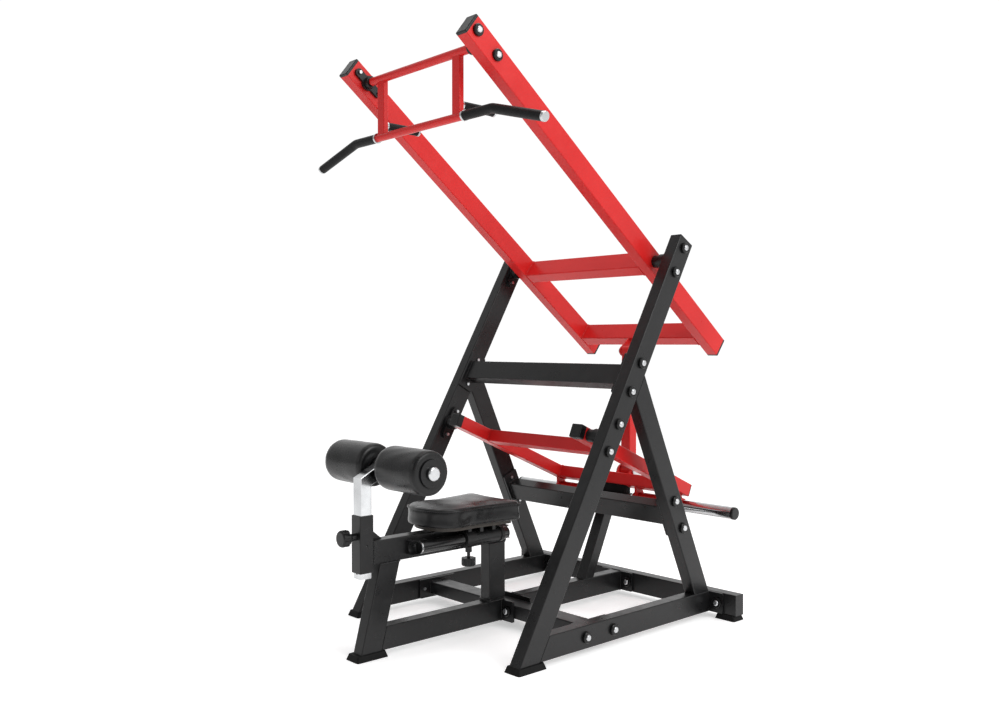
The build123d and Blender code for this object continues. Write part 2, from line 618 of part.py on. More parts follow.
front_arm_cap = end_cap(*arm_point(-ARM_FRONT), ARM_SLOPE, TUBE_D, ARM_CAP, True)
rear_arm_cap = end_cap(*arm_point(ARM_REAR - ARM_CAP), ARM_SLOPE, TUBE_D, ARM_CAP, False)
with BuildPart() as arm_end_caps:
    for shape in both_sides(front_arm_cap) + both_sides(rear_arm_cap):
        add(shape)
arm_end_caps.part.label = "arm_end_caps"
export_step(arm_end_caps.part, "parts/arm_end_caps.step")

SHAFT_END = LEG_IN - 2.0


def pivot_shaft(pivot):
    """Stub shaft from inside the +X arm tube into the leg's bearing, with a collar between."""
    with BuildPart(mode=Mode.PRIVATE) as shaft:
        add(rod_x(*pivot, ARM_IN + WALL, SHAFT_END, SHAFT_R))
        add(rod_x(*pivot, ARM_OUT, LEG_IN - 36, SHAFT_R + 8))
    return shaft.part


with BuildPart() as arm_pivot_shafts:
    for shape in both_sides(pivot_shaft(UPPER_PIVOT)):
        add(shape)
arm_pivot_shafts.part.label = "arm_pivot_shafts"
export_step(arm_pivot_shafts.part, "parts/arm_pivot_shafts.step")

HANDLE_HOUSING = 30.0
with BuildPart() as handle_bearings:
    with BuildSketch(Plane.YZ.offset(ARM_IN - 11)):
        with Locations(*HANDLE_BOLTS):
            Circle(15)
        with Locations(HANDLE_PIVOT):
            Circle(27)
            Rectangle(104, 30, rotation=-ARM_SLOPE)
    extrude(amount=11)
    with BuildSketch(Plane.YZ.offset(ARM_IN - HANDLE_HOUSING)):
        with Locations(HANDLE_PIVOT):
            Circle(22)
    extrude(amount=HANDLE_HOUSING - 11)
    with BuildSketch(Plane.YZ.offset(ARM_IN - HANDLE_HOUSING - 1)):
        with Locations(HANDLE_PIVOT):
            Circle(HANDLE_SHAFT_R + RUNNING)
        with Locations(*HANDLE_BOLTS):
            Circle(BOLT_R + 0.2)
    extrude(amount=HANDLE_HOUSING + 2, mode=Mode.SUBTRACT)
    mirror(about=Plane.YZ)
handle_bearings.part.label = "handle_bearings"
export_step(handle_bearings.part, "parts/handle_bearings.step")

arm_seats = []
for y, z in HANDLE_BOLTS:
    arm_seats.append(((ARM_OUT, y, z), (1, 0, 0), TUBE_W + 20))
    arm_seats.append(((-ARM_OUT, y, z), (-1, 0, 0), TUBE_W + 20))
with BuildPart() as arm_bolts:
    for origin, direction, shank in arm_seats:
        add(bolt(origin, direction, shank))
arm_bolts.part.label = "arm_bolts"
export_step(arm_bolts.part, "parts/arm_bolts.step")

with BuildPart() as arm_washers:
    for origin, direction, shank in arm_seats:
        add(washer(origin, direction))
arm_washers.part.label = "arm_washers"
export_step(arm_washers.part, "parts/arm_washers.step")

UPPER_LINK_PIN = (641.0, 1025.0)
LOWER_LINK_PIN = (637.0, 512.0)
PIN_R = 10.0
LOWER_PIN_GAP = 9.0               # the lower lug's hole lets the pin drift as the arms swing
LUG_IN = 30.0
LUG_T = 8.0
with BuildPart() as arm_link_lug:
    with BuildSketch(Plane.YZ.offset(LUG_IN)):
        with BuildLine():
            Polyline(arm_point(421, -TUBE_D / 2), arm_point(469, -TUBE_D / 2), arm_point(452, -100),
                     arm_point(408, -100), close=True)
        make_face()
        with Locations(UPPER_LINK_PIN):
            Circle(22)
            Circle(PIN_R + RUNNING, mode=Mode.SUBTRACT)
    extrude(amount=LUG_T)
    mirror(about=Plane.YZ)
arm_link_lug.part.label = "arm_link_lug"
export_step(arm_link_lug.part, "parts/arm_link_lug.step")

# ---------------------------------------------------------------- handle
HY, HZ = HANDLE_PIVOT
LOW_BAR_Z = HZ - HANDLE_DROP
BEND_X = 385.0
END_X = 617.0
END_Z = LOW_BAR_Z - 65.0
LOW_HALF = 243.0
SIDE_W = 40.0
SIDE_T = 20.0


def bar_path(x0, x1):
    """Line along the lower bar on the +X side, from x0 to x1, following its bend."""
    slope = (END_Z - LOW_BAR_Z) / (END_X - BEND_X)
    with BuildLine(mode=Mode.PRIVATE) as path:
        FilletPolyline((x0, HY, LOW_BAR_Z), (BEND_X, HY, LOW_BAR_Z),
                       (x1, HY, LOW_BAR_Z + slope * (x1 - BEND_X)), radius=60)
    return path.line


def bent_bar(x0, x1, radius, bore=0.0):
    """Round bar or sleeve swept along the lower bar's bent end."""
    path = bar_path(x0, x1)
    with BuildPart(mode=Mode.PRIVATE) as bar:
        with BuildSketch(Plane(origin=path @ 0, z_dir=path % 0)):
            Circle(radius)
            if bore > 0:
                Circle(bore, mode=Mode.SUBTRACT)
        sweep(path=path)
    return bar.part


TOP_BAR_HALF = ARM_IN - HANDLE_HOUSING - 4
right_end = bent_bar(0, END_X, BAR_R)
with BuildPart() as handle_bars:
    add(rod_x(HY, HZ, -TOP_BAR_HALF, TOP_BAR_HALF, 15))
    add(rod_x(HY, HZ, -ARM_IN + 2, ARM_IN - 2, HANDLE_SHAFT_R))
    for shape in both_sides(right_end):
        add(shape)
handle_bars.part.label = "handle_bars"
export_step(handle_bars.part, "parts/handle_bars.step")

with BuildPart() as handle_side_tubes:
    with BuildSketch(Plane.XY.offset(LOW_BAR_Z)):
        with Locations((HANDLE_TUBE_X, HY)):
            RectangleRounded(SIDE_W, SIDE_T, 3)
    extrude(amount=HANDLE_DROP)
    with BuildSketch(Plane.YZ):
        with Locations((HY, LOW_BAR_Z)):
            Circle(BAR_R)
        with Locations((HY, HZ)):
            Circle(15)
    extrude(amount=ARM_IN, mode=Mode.SUBTRACT)
    mirror(about=Plane.YZ)
handle_side_tubes.part.label = "handle_side_tubes"
export_step(handle_side_tubes.part, "parts/handle_side_tubes.step")

right_grip = bent_bar(LOW_HALF + 8, END_X, GRIP_R, BAR_R)
with BuildPart() as outer_grips:
    for shape in both_sides(right_grip):
        add(shape)
outer_grips.part.label = "outer_grips"
export_step(outer_grips.part, "parts/outer_grips.step")

NEUTRAL_Z = HZ - 172.0
NEUTRAL_R = 15.0
NEUTRAL_FRONT = HY + SIDE_T / 2
NEUTRAL_REAR = NEUTRAL_FRONT + 152.0
with BuildPart() as neutral_grips:
    with BuildSketch(Plane.XZ.offset(-NEUTRAL_FRONT - 8)):
        with Locations((HANDLE_TUBE_X, NEUTRAL_Z), (-HANDLE_TUBE_X, NEUTRAL_Z)):
            Circle(NEUTRAL_R)
    extrude(amount=-(NEUTRAL_REAR - NEUTRAL_FRONT - 16))
neutral_grips.part.label = "neutral_grips"
export_step(neutral_grips.part, "parts/neutral_grips.step")

END_CAP = 9.0
end_slope = atan2(END_Z - LOW_BAR_Z, END_X - BEND_X)
end_dir = (cos(end_slope), 0, sin(end_slope))
with BuildPart(mode=Mode.PRIVATE) as bar_end:
    with BuildSketch(Plane(origin=(END_X, HY, END_Z), z_dir=end_dir)):
        Circle(GRIP_R)
    extrude(amount=END_CAP)
    fillet(bar_end.faces().sort_by(Axis((END_X, HY, END_Z), end_dir))[-1].edges(), 2)
with BuildPart(mode=Mode.PRIVATE) as inner_ring:
    with BuildSketch(Plane.YZ.offset(LOW_HALF)):
        with Locations((HY, LOW_BAR_Z)):
            Circle(GRIP_R + 2)
            Circle(BAR_R, mode=Mode.SUBTRACT)
    extrude(amount=8)
with BuildPart(mode=Mode.PRIVATE) as neutral_rings:
    for y0 in (NEUTRAL_FRONT, NEUTRAL_REAR - 8):
        with BuildSketch(Plane.XZ.offset(-y0 - 8)):
            with Locations((HANDLE_TUBE_X, NEUTRAL_Z)):
                Circle(NEUTRAL_R + 1.5)
        extrude(amount=8)
with BuildPart() as grip_collars:
    for item in (bar_end, inner_ring, neutral_rings):
        for shape in both_sides(item.part):
            add(shape)
grip_collars.part.label = "grip_collars"
export_step(grip_collars.part, "parts/grip_collars.step")

# ---------------------------------------------------------------- link between the two arms
EYE_R = 22.0
LINK_HALF = 25.0
LINK_D = 45.0
LINK_LOW = LOWER_LINK_PIN[1] + 30
LINK_HIGH = UPPER_LINK_PIN[1] - 34


def link_y(z):
    """Y of the link's centre line at height z."""
    share = (z - LOWER_LINK_PIN[1]) / (UPPER_LINK_PIN[1] - LOWER_LINK_PIN[1])
    return LOWER_LINK_PIN[0] + share * (UPPER_LINK_PIN[0] - LOWER_LINK_PIN[0])


link_body = side_tube((link_y(LINK_LOW) - LINK_D / 2, LINK_LOW), (link_y(LINK_HIGH) - LINK_D / 2, LINK_HIGH),
                      (link_y(LINK_HIGH) + LINK_D / 2, LINK_HIGH),
                      (link_y(LINK_LOW) + LINK_D / 2, LINK_LOW), 0)
with BuildPart() as link_tube:
    add(link_body)
    with BuildSketch(Plane.YZ):
        with Locations(UPPER_LINK_PIN, LOWER_LINK_PIN):
            Circle(EYE_R)
        with Locations((link_y(LINK_HIGH + 6), LINK_HIGH + 6), (link_y(LINK_LOW - 4), LINK_LOW - 4)):
            Rectangle(LINK_D - 12, 18)
        with Locations(UPPER_LINK_PIN, LOWER_LINK_PIN):
            Circle(PIN_R, mode=Mode.SUBTRACT)
    extrude(amount=LINK_HALF + 2, both=True)
link_tube.part.label = "link_tube"
export_step(link_tube.part, "parts/link_tube.step")

PIN_HALF = LUG_IN + LUG_T + 9
with BuildPart() as link_pins:
    for y, z in (UPPER_LINK_PIN, LOWER_LINK_PIN):
        add(rod_x(y, z, -PIN_HALF, PIN_HALF, PIN_R))
        head_r = PIN_R + 5 if z > LINK_HIGH else PIN_R + LOWER_PIN_GAP + 5
        add(rod_x(y, z, PIN_HALF - 7, PIN_HALF, head_r))
        add(rod_x(y, z, -PIN_HALF, -PIN_HALF + 7, head_r))
link_pins.part.label = "link_pins"
export_step(link_pins.part, "parts/link_pins.step")

# ---------------------------------------------------------------- weight arm
def weight_point(distance, lift=0.0):
    """(y, z) at a distance rearwards of the lower hinge along the weight arm."""
    return along(LOWER_PIVOT, WEIGHT_SLOPE, distance, lift)


HALF_W = WEIGHT_TUBE / 2
weight_tube = side_tube(weight_point(-WEIGHT_FRONT, -HALF_W), weight_point(WEIGHT_REAR, -HALF_W),
                        weight_point(WEIGHT_REAR, HALF_W), weight_point(-WEIGHT_FRONT, HALF_W), ARM_X)
with BuildPart() as weight_arm_tubes:
    add(weight_tube)
    with BuildSketch(Plane.YZ.offset(ARM_OUT - WALL - 1)):
        with Locations(LOWER_PIVOT):
            Circle(SHAFT_R)
    extrude(amount=WALL + 2, mode=Mode.SUBTRACT)
    mirror(about=Plane.YZ)
weight_arm_tubes.part.label = "weight_arm_tubes"
export_step(weight_arm_tubes.part, "parts/weight_arm_tubes.step")

WEIGHT_CROSS_FRONT = 154.0
WEIGHT_CROSS_REAR = WEIGHT_REAR - HALF_W
low_front_cross = cross_tube(*weight_point(WEIGHT_CROSS_FRONT), ARM_IN, WEIGHT_TUBE, WEIGHT_TUBE,
                             -WEIGHT_SLOPE)
low_rear_cross = cross_tube(*weight_point(WEIGHT_CROSS_REAR), ARM_IN, WEIGHT_TUBE, WEIGHT_TUBE,
                            -WEIGHT_SLOPE)
with BuildPart() as weight_arm_cross_tubes:
    add(low_front_cross)
    add(low_rear_cross)
weight_arm_cross_tubes.part.label = "weight_arm_cross_tubes"
export_step(weight_arm_cross_tubes.part, "parts/weight_arm_cross_tubes.step")

low_cap = end_cap(*weight_point(-WEIGHT_FRONT), WEIGHT_SLOPE, WEIGHT_TUBE, 26, True)
low_rear_cap = end_cap(*weight_point(WEIGHT_REAR), WEIGHT_SLOPE, WEIGHT_TUBE, 6, False)
with BuildPart() as weight_arm_caps:
    for shape in both_sides(low_cap) + both_sides(low_rear_cap):
        add(shape)
weight_arm_caps.part.label = "weight_arm_caps"
export_step(weight_arm_caps.part, "parts/weight_arm_caps.step")

with BuildPart() as weight_arm_shafts:
    for shape in both_sides(pivot_shaft(LOWER_PIVOT)):
        add(shape)
weight_arm_shafts.part.label = "weight_arm_shafts"
export_step(weight_arm_shafts.part, "parts/weight_arm_shafts.step")

with BuildPart() as weight_arm_lug:
    with BuildSketch(Plane.YZ.offset(LUG_IN)):
        with BuildLine():
            Polyline(weight_point(WEIGHT_REAR, -18), weight_point(WEIGHT_REAR, 40), weight_point(658, 82),
                     weight_point(694, 68), weight_point(694, 36), close=True)
        make_face()
        with Locations(LOWER_LINK_PIN):
            Circle(PIN_R + LOWER_PIN_GAP + 10)
            Circle(PIN_R + LOWER_PIN_GAP, mode=Mode.SUBTRACT)
    extrude(amount=LUG_T)
    mirror(about=Plane.YZ)
weight_arm_lug.part.label = "weight_arm_lug"
export_step(weight_arm_lug.part, "parts/weight_arm_lug.step")

CARRIER_R = 30.0
CARRIER_IN = 100.0
CARRIER_OUT = 340.0
BRACKET_T = 10.0
with BuildPart() as horn_carriers:
    add(rod_x(HORN_Y, HORN_Z, CARRIER_IN, CARRIER_OUT, CARRIER_R))
    for x0 in (CARRIER_IN + 20, CARRIER_OUT - BRACKET_T - 12):
        with BuildSketch(Plane.YZ.offset(x0)):
            with BuildLine():
                Polyline(weight_point(WEIGHT_REAR - 46, -HALF_W), weight_point(WEIGHT_REAR, -HALF_W),
                         (HORN_Y + CARRIER_R, HORN_Z), (HORN_Y - CARRIER_R, HORN_Z), close=True)
            make_face()
        extrude(amount=BRACKET_T)
    mirror(about=Plane.YZ)
horn_carriers.part.label = "horn_carriers"
export_step(horn_carriers.part, "parts/horn_carriers.step")

with BuildPart() as weight_horns:
    for shape in both_sides(rod_x(HORN_Y, HORN_Z, CARRIER_OUT, HORN_END, HORN_R)):
        add(shape)
weight_horns.part.label = "weight_horns"
export_step(weight_horns.part, "parts/weight_horns.step")

with BuildPart(mode=Mode.PRIVATE) as horn_cap:
    add(rod_x(HORN_Y, HORN_Z, HORN_END, HORN_END + 12, HORN_R))
    fillet(horn_cap.faces().sort_by(Axis.X)[-1].edges(), 4)
with BuildPart() as horn_caps:
    for shape in both_sides(horn_cap.part):
        add(shape)
horn_caps.part.label = "horn_caps"
export_step(horn_caps.part, "parts/horn_caps.step")

# ---------------------------------------------------------------- thigh roller post and its sleeve
PIN_Z = 414.0
HOLE_STEP = 30.0
STEM_R = 6.0
BARREL_R = 12.0
SLEEVE_FRONT = SLEEVE_Y - SLEEVE_SIZE / 2
with BuildPart() as post_sleeve:
    with BuildSketch(Plane.XY.offset(SLEEVE_BOTTOM)):
        with Locations((0, SLEEVE_Y)):
            RectangleRounded(SLEEVE_SIZE, SLEEVE_SIZE, CORNER)
            Rectangle(POST_SIZE + 1, POST_SIZE + 1, mode=Mode.SUBTRACT)
    extrude(amount=SLEEVE_TOP - SLEEVE_BOTTOM)
    with BuildSketch(Plane.YZ):
        Polygon((SLEEVE_BACK, SEAT_BEAM_TOP + 40), (SLEEVE_BACK, SEAT_BEAM_TOP),
                (SLEEVE_BACK + 49, SEAT_BEAM_TOP), align=None)
    extrude(amount=4, both=True)
    with BuildSketch(Plane.XZ.offset(-SLEEVE_FRONT)):
        with Locations((0, PIN_Z)):
            Circle(BARREL_R)
    extrude(amount=20)
    with BuildSketch(Plane.XZ.offset(-SLEEVE_Y)):
        with Locations((0, PIN_Z)):
            Circle(STEM_R + RUNNING)
    extrude(amount=SLEEVE_SIZE, mode=Mode.SUBTRACT)
    with BuildSketch(Plane.YZ):
        with Locations((SLEEVE_Y, PIN_Z - HOLE_STEP)):
            Circle(3)
    extrude(amount=SLEEVE_SIZE, mode=Mode.SUBTRACT)
post_sleeve.part.label = "post_sleeve"
export_step(post_sleeve.part, "parts/post_sleeve.step")

MITRE_Z = 596.0
HALF_POST = POST_SIZE / 2
rise = atan2(ROLLER_Z - MITRE_Z, ROLLER_Y - SLEEVE_Y)
reach = hypot(ROLLER_Y - SLEEVE_Y, ROLLER_Z - MITRE_Z) + 24.0
mitre = HALF_POST * (1 - sin(rise)) / cos(rise)


def post_arm(distance, lift):
    """(y, z) along the raised arm of the roller post, from the post's mitre."""
    y = SLEEVE_Y + distance * cos(rise) - lift * sin(rise)
    return (y, MITRE_Z + distance * sin(rise) + lift * cos(rise))


upright = side_tube((SLEEVE_Y - HALF_POST, POST_BOTTOM), post_arm(-mitre, HALF_POST),
                    post_arm(mitre, -HALF_POST), (SLEEVE_Y + HALF_POST, POST_BOTTOM), 0, POST_SIZE)
raised = side_tube(post_arm(-mitre, HALF_POST), post_arm(reach, HALF_POST),
                   post_arm(reach, -HALF_POST), post_arm(mitre, -HALF_POST), 0, POST_SIZE)
AXLE_R = 12.0
with BuildPart() as roller_post:
    add(upright)
    add(raised)
    with BuildSketch(Plane.XZ.offset(-SLEEVE_Y)):
        with Locations(*[(0, PIN_Z - HOLE_STEP * i) for i in range(5)]):
            Circle(STEM_R + 1)
    extrude(amount=HALF_POST + 2, mode=Mode.SUBTRACT)
    with BuildSketch(Plane.YZ):
        with Locations((ROLLER_Y, ROLLER_Z)):
            Circle(AXLE_R)
    extrude(amount=HALF_POST + 2, both=True, mode=Mode.SUBTRACT)
roller_post.part.label = "roller_post"
export_step(roller_post.part, "parts/roller_post.step")

HUB_END = ROLLER_OUTER + 4.0
AXLE_END = HUB_END + 3.0
with BuildPart() as roller_axle:
    add(rod_x(ROLLER_Y, ROLLER_Z, -AXLE_END, AXLE_END, AXLE_R))
    for shape in both_sides(rod_x(ROLLER_Y, ROLLER_Z, HALF_POST, ROLLER_INNER - 3, AXLE_R + 6)):
        add(shape)
roller_axle.part.label = "roller_axle"
export_step(roller_axle.part, "parts/roller_axle.step")

with BuildPart(mode=Mode.PRIVATE) as axle_cap:
    add(rod_x(ROLLER_Y, ROLLER_Z, AXLE_END, AXLE_END + 12, 23))
    fillet(axle_cap.faces().sort_by(Axis.X)[-1].edges(), 6)
with BuildPart() as axle_caps:
    for shape in both_sides(axle_cap.part):
        add(shape)
axle_caps.part.label = "axle_caps"
export_step(axle_caps.part, "parts/axle_caps.step")

CORE_R = 22.0
with BuildPart() as foam_roller_right:
    add(rod_x(ROLLER_Y, ROLLER_Z, ROLLER_INNER, ROLLER_OUTER, ROLLER_R))
    fillet(foam_roller_right.edges().filter_by(GeomType.CIRCLE), 12)
    add(rod_x(ROLLER_Y, ROLLER_Z, ROLLER_INNER - 1, ROLLER_OUTER + 1, CORE_R), mode=Mode.SUBTRACT)
foam_roller_right.part.label = "foam_roller_right"
export_step(foam_roller_right.part, "parts/foam_roller_right.step")

with BuildPart() as roller_hub_right:
    add(rod_x(ROLLER_Y, ROLLER_Z, ROLLER_INNER - 2, HUB_END, CORE_R))
    add(rod_x(ROLLER_Y, ROLLER_Z, ROLLER_OUTER, HUB_END, 46))
    add(rod_x(ROLLER_Y, ROLLER_Z, 0, AXLE_END, AXLE_R + RUNNING), mode=Mode.SUBTRACT)
roller_hub_right.part.label = "roller_hub_right"
export_step(roller_hub_right.part, "parts/roller_hub_right.step")

with BuildPart() as foam_roller_left:
    add(foam_roller_right.part.mirror(Plane.YZ))
foam_roller_left.part.label = "foam_roller_left"
export_step(foam_roller_left.part, "parts/foam_roller_left.step")

with BuildPart() as roller_hub_left:
    add(roller_hub_right.part.mirror(Plane.YZ))
roller_hub_left.part.label = "roller_hub_left"
export_step(roller_hub_left.part, "parts/roller_hub_left.step")


LOBES = 8
LOBE_CUT = 6.0


def pull_pin(tip, direction, stem, knob_r, knob_h):
    """Round pin from its tip outwards, ending in a knob with scallops round its rim."""
    plane = Plane(origin=tip, z_dir=direction)
    with BuildPart(mode=Mode.PRIVATE) as pin:
        with BuildSketch(plane):
            Circle(STEM_R)
        extrude(amount=stem)
        with BuildSketch(plane.offset(stem)):
            Circle(knob_r)
        extrude(amount=knob_h)
        fillet(pin.faces().sort_by(Axis(tip, direction))[-1].edges(), 7)
        with BuildSketch(plane.offset(stem - 1)):
            with PolarLocations(knob_r + LOBE_CUT * 0.55, LOBES):
                Circle(LOBE_CUT)
        extrude(amount=knob_h + 2, mode=Mode.SUBTRACT)
    return pin.part


POST_KNOB_Y = -789.0
PIN_TIP_Y = SLEEVE_Y - HALF_POST - 0.4      # drawn clear of the post; it locks by moving in
with BuildPart() as post_pull_pin:
    add(pull_pin((0, PIN_TIP_Y, PIN_Z), (0, -1, 0), PIN_TIP_Y - POST_KNOB_Y, 28, 28))
post_pull_pin.part.label = "post_pull_pin"
export_step(post_pull_pin.part, "parts/post_pull_pin.step")

# ---------------------------------------------------------------- seat, its rods and its carriage
ROD_X = 60.0
ROD_Z = 358.0
ROD_R = 22.5
ROD_WALL = 4.0
ROD_FRONT = -532.0
ROD_REAR = -140.0
SEAT_PIN_Y = -313.0
SEAT_HOLE_STEP = 40.0


def round_y(x, z, y0, y1, radius):
    """Round bar along Y from y0 to y1."""
    with BuildPart(mode=Mode.PRIVATE) as bar:
        with BuildSketch(Plane(origin=(x, y0, z), x_dir=(1, 0, 0), z_dir=(0, 1, 0))):
            Circle(radius)
        extrude(amount=y1 - y0)
    return bar.part


rod = round_y(ROD_X, ROD_Z, ROD_FRONT, ROD_REAR, ROD_R)
rod_core = round_y(ROD_X, ROD_Z, ROD_FRONT - 1, ROD_REAR + 1, ROD_R - ROD_WALL)
with BuildPart() as guide_rods:
    for shape in both_sides(rod):
        add(shape)
    for shape in both_sides(rod_core):
        add(shape, mode=Mode.SUBTRACT)
    with BuildSketch(Plane.XY.offset(ROD_Z - ROD_R - 1)):
        with Locations(*[(ROD_X, SEAT_PIN_Y - SEAT_HOLE_STEP * i) for i in range(4)]):
            Circle(STEM_R + 2)
    extrude(amount=ROD_R, mode=Mode.SUBTRACT)
guide_rods.part.label = "guide_rods"
export_step(guide_rods.part, "parts/guide_rods.step")

with BuildPart() as rod_blocks:
    for y0, y1 in ((-565.0, -500.0), (-146.0, -108.0)):
        with BuildSketch(Plane.XZ.offset(-y1)):
            with Locations((ROD_X / 2 + TUBE_W / 4, ROD_Z)):
                Rectangle(ROD_X - TUBE_W / 2, 46)
            with Locations((ROD_X, ROD_Z)):
                Circle(ROD_R, mode=Mode.SUBTRACT)
        extrude(amount=y1 - y0)
    mirror(about=Plane.YZ)
rod_blocks.part.label = "rod_blocks"
export_step(rod_blocks.part, "parts/rod_blocks.step")

with BuildPart(mode=Mode.PRIVATE) as rod_ring:
    add(round_y(ROD_X, ROD_Z, ROD_FRONT - 6, ROD_FRONT, ROD_R))
    add(round_y(ROD_X, ROD_Z, ROD_FRONT - 7, ROD_FRONT + 1, ROD_R - 4), mode=Mode.SUBTRACT)
with BuildPart() as rod_end_rings:
    for shape in both_sides(rod_ring.part):
        add(shape)
rod_end_rings.part.label = "rod_end_rings"
export_step(rod_end_rings.part, "parts/rod_end_rings.step")

with BuildPart() as rod_end_plugs:
    for shape in both_sides(round_y(ROD_X, ROD_Z, ROD_FRONT - 5, ROD_FRONT, ROD_R - 4)):
        add(shape)
    for shape in both_sides(round_y(ROD_X, ROD_Z, ROD_REAR, ROD_REAR + 8, ROD_R)):
        add(shape)
rod_end_plugs.part.label = "rod_end_plugs"
export_step(rod_end_plugs.part, "parts/rod_end_plugs.step")

SEAT_LOW = 415.0
SEAT_HIGH = 493.0
BOARD_T = 12.0
BOARD_LOW = SEAT_LOW - BOARD_T
SLIDER_R = 26.0
SLIDER_FRONT = -340.0
SLIDER_REAR = -160.0
COLLAR_R = 31.0
COLLAR_W = 44.0
CARRIAGE_T = 6.4
BARREL_LOW = ROD_Z - COLLAR_R - 16.0
with BuildPart() as seat_carriage:
    add(round_y(ROD_X, ROD_Z, SLIDER_FRONT, SLIDER_REAR, SLIDER_R))
    add(round_y(ROD_X, ROD_Z, SLIDER_FRONT, SLIDER_FRONT + COLLAR_W, COLLAR_R))
    add(round_y(ROD_X, ROD_Z, SLIDER_REAR - 14, SLIDER_REAR, COLLAR_R - 2))
    with BuildSketch(Plane.XY.offset(ROD_Z + 10)):
        with Locations(*[(ROD_X, y) for y in (SLIDER_FRONT + COLLAR_W / 2, -262.0, -204.0)]):
            RectangleRounded(30, 16, 2)
    extrude(amount=BOARD_LOW - ROD_Z - 10)
    mirror(about=Plane.YZ)
    with BuildSketch(Plane.XY.offset(BOARD_LOW - CARRIAGE_T)):
        with Locations((0, (SLIDER_FRONT + SLIDER_REAR) / 2)):
            Rectangle(2 * ROD_X + 30, SLIDER_REAR - SLIDER_FRONT)
    extrude(amount=CARRIAGE_T)
    with BuildSketch(Plane.XY.offset(BARREL_LOW)):
        with Locations((ROD_X, SEAT_PIN_Y)):
            Circle(BARREL_R)
    extrude(amount=ROD_Z - BARREL_LOW)
    with BuildSketch(Plane.XY.offset(BARREL_LOW - 1)):
        with Locations((ROD_X, SEAT_PIN_Y)):
            Circle(STEM_R + RUNNING)
    extrude(amount=ROD_Z - BARREL_LOW, mode=Mode.SUBTRACT)
    for shape in both_sides(round_y(ROD_X, ROD_Z, SLIDER_FRONT - 1, SLIDER_REAR + 1, ROD_R + RUNNING)):
        add(shape, mode=Mode.SUBTRACT)
seat_carriage.part.label = "seat_carriage"
export_step(seat_carriage.part, "parts/seat_carriage.step")

SEAT_FRONT = -502.0
SEAT_REAR = -120.0
SEAT_EDGE = [(0, SEAT_FRONT), (58, -493), (104, -466), (128, -430), (132, -392), (128, -342), (131, -280),
             (139, -200), (148, SEAT_REAR)]
SEAT_CORNER = 24.0
SEAT_MID = (SEAT_FRONT + SEAT_REAR) / 2
SEAT_HALF = (SEAT_REAR - SEAT_FRONT) / 2


def seat_sketch(plane, inset):
    """Seat outline on a plane, drawn in by inset: round nose, slight waist, wider rear."""
    in_x = 1 - inset / SEAT_EDGE[-1][0]
    in_y = 1 - inset / SEAT_HALF
    edge = [(x * in_x, SEAT_MID + (y - SEAT_MID) * in_y) for x, y in SEAT_EDGE]
    with BuildSketch(plane, mode=Mode.PRIVATE) as shape:
        with BuildLine():
            Spline(*edge, tangents=[(1, 0), (0.12, 1)])
            Line(edge[-1], (0, edge[-1][1]))
            mirror(about=Plane.YZ)
        make_face()
        corners = [v for v in shape.vertices() if abs(v.X) > 1 and abs(v.Y - edge[-1][1]) < 0.01]
        fillet(corners, SEAT_CORNER)
    return shape.sketch


with BuildPart() as seat_board:
    add(seat_sketch(Plane.XY.offset(BOARD_LOW), 26))
    extrude(amount=BOARD_T)
seat_board.part.label = "seat_board"
export_step(seat_board.part, "parts/seat_board.step")

with BuildPart() as seat_cushion:
    add(seat_sketch(Plane.XY.offset(SEAT_LOW), 0))
    extrude(amount=SEAT_HIGH - SEAT_LOW)
    fillet(seat_cushion.faces().sort_by(Axis.Z)[-1].edges(), 18)
seat_cushion.part.label = "seat_cushion"
export_step(seat_cushion.part, "parts/seat_cushion.step")

SEAT_KNOB_TOP = 290.0
SEAT_TIP_Z = ROD_Z - ROD_R - 0.6            # drawn clear of the rod; it locks by moving up
with BuildPart() as seat_pull_pin:
    add(pull_pin((ROD_X, SEAT_PIN_Y, SEAT_TIP_Z), (0, 0, -1), SEAT_TIP_Z - SEAT_KNOB_TOP, 26, 29))
seat_pull_pin.part.label = "seat_pull_pin"
export_step(seat_pull_pin.part, "parts/seat_pull_pin.step")
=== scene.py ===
"""Looks for the plate-loaded lat pulldown machine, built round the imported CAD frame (metres)."""
import math

import bpy
import numpy as np
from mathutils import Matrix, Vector


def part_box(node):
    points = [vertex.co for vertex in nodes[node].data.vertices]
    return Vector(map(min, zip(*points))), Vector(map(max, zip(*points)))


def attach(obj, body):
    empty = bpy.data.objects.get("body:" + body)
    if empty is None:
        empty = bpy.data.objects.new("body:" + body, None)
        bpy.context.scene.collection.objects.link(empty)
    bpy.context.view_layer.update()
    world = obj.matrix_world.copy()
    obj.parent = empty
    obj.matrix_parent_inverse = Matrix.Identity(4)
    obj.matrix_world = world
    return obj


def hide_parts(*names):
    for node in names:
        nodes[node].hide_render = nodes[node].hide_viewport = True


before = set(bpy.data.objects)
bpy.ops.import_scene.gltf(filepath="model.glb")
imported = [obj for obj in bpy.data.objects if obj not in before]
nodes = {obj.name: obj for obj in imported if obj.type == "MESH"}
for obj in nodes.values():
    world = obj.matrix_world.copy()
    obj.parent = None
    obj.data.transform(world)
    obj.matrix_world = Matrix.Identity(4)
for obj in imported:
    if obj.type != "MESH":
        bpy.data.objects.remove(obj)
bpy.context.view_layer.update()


# ------------------------------------------------------------------ shader helpers
def new_material(name):
    """Empty material with one Principled shader: (material, tree, shader)."""
    mat = bpy.data.materials.new(name)
    mat.use_nodes = True
    tree = mat.node_tree
    tree.nodes.clear()
    out = tree.nodes.new("ShaderNodeOutputMaterial")
    shader = tree.nodes.new("ShaderNodeBsdfPrincipled")
    tree.links.new(shader.outputs[0], out.inputs["Surface"])
    return mat, tree, shader


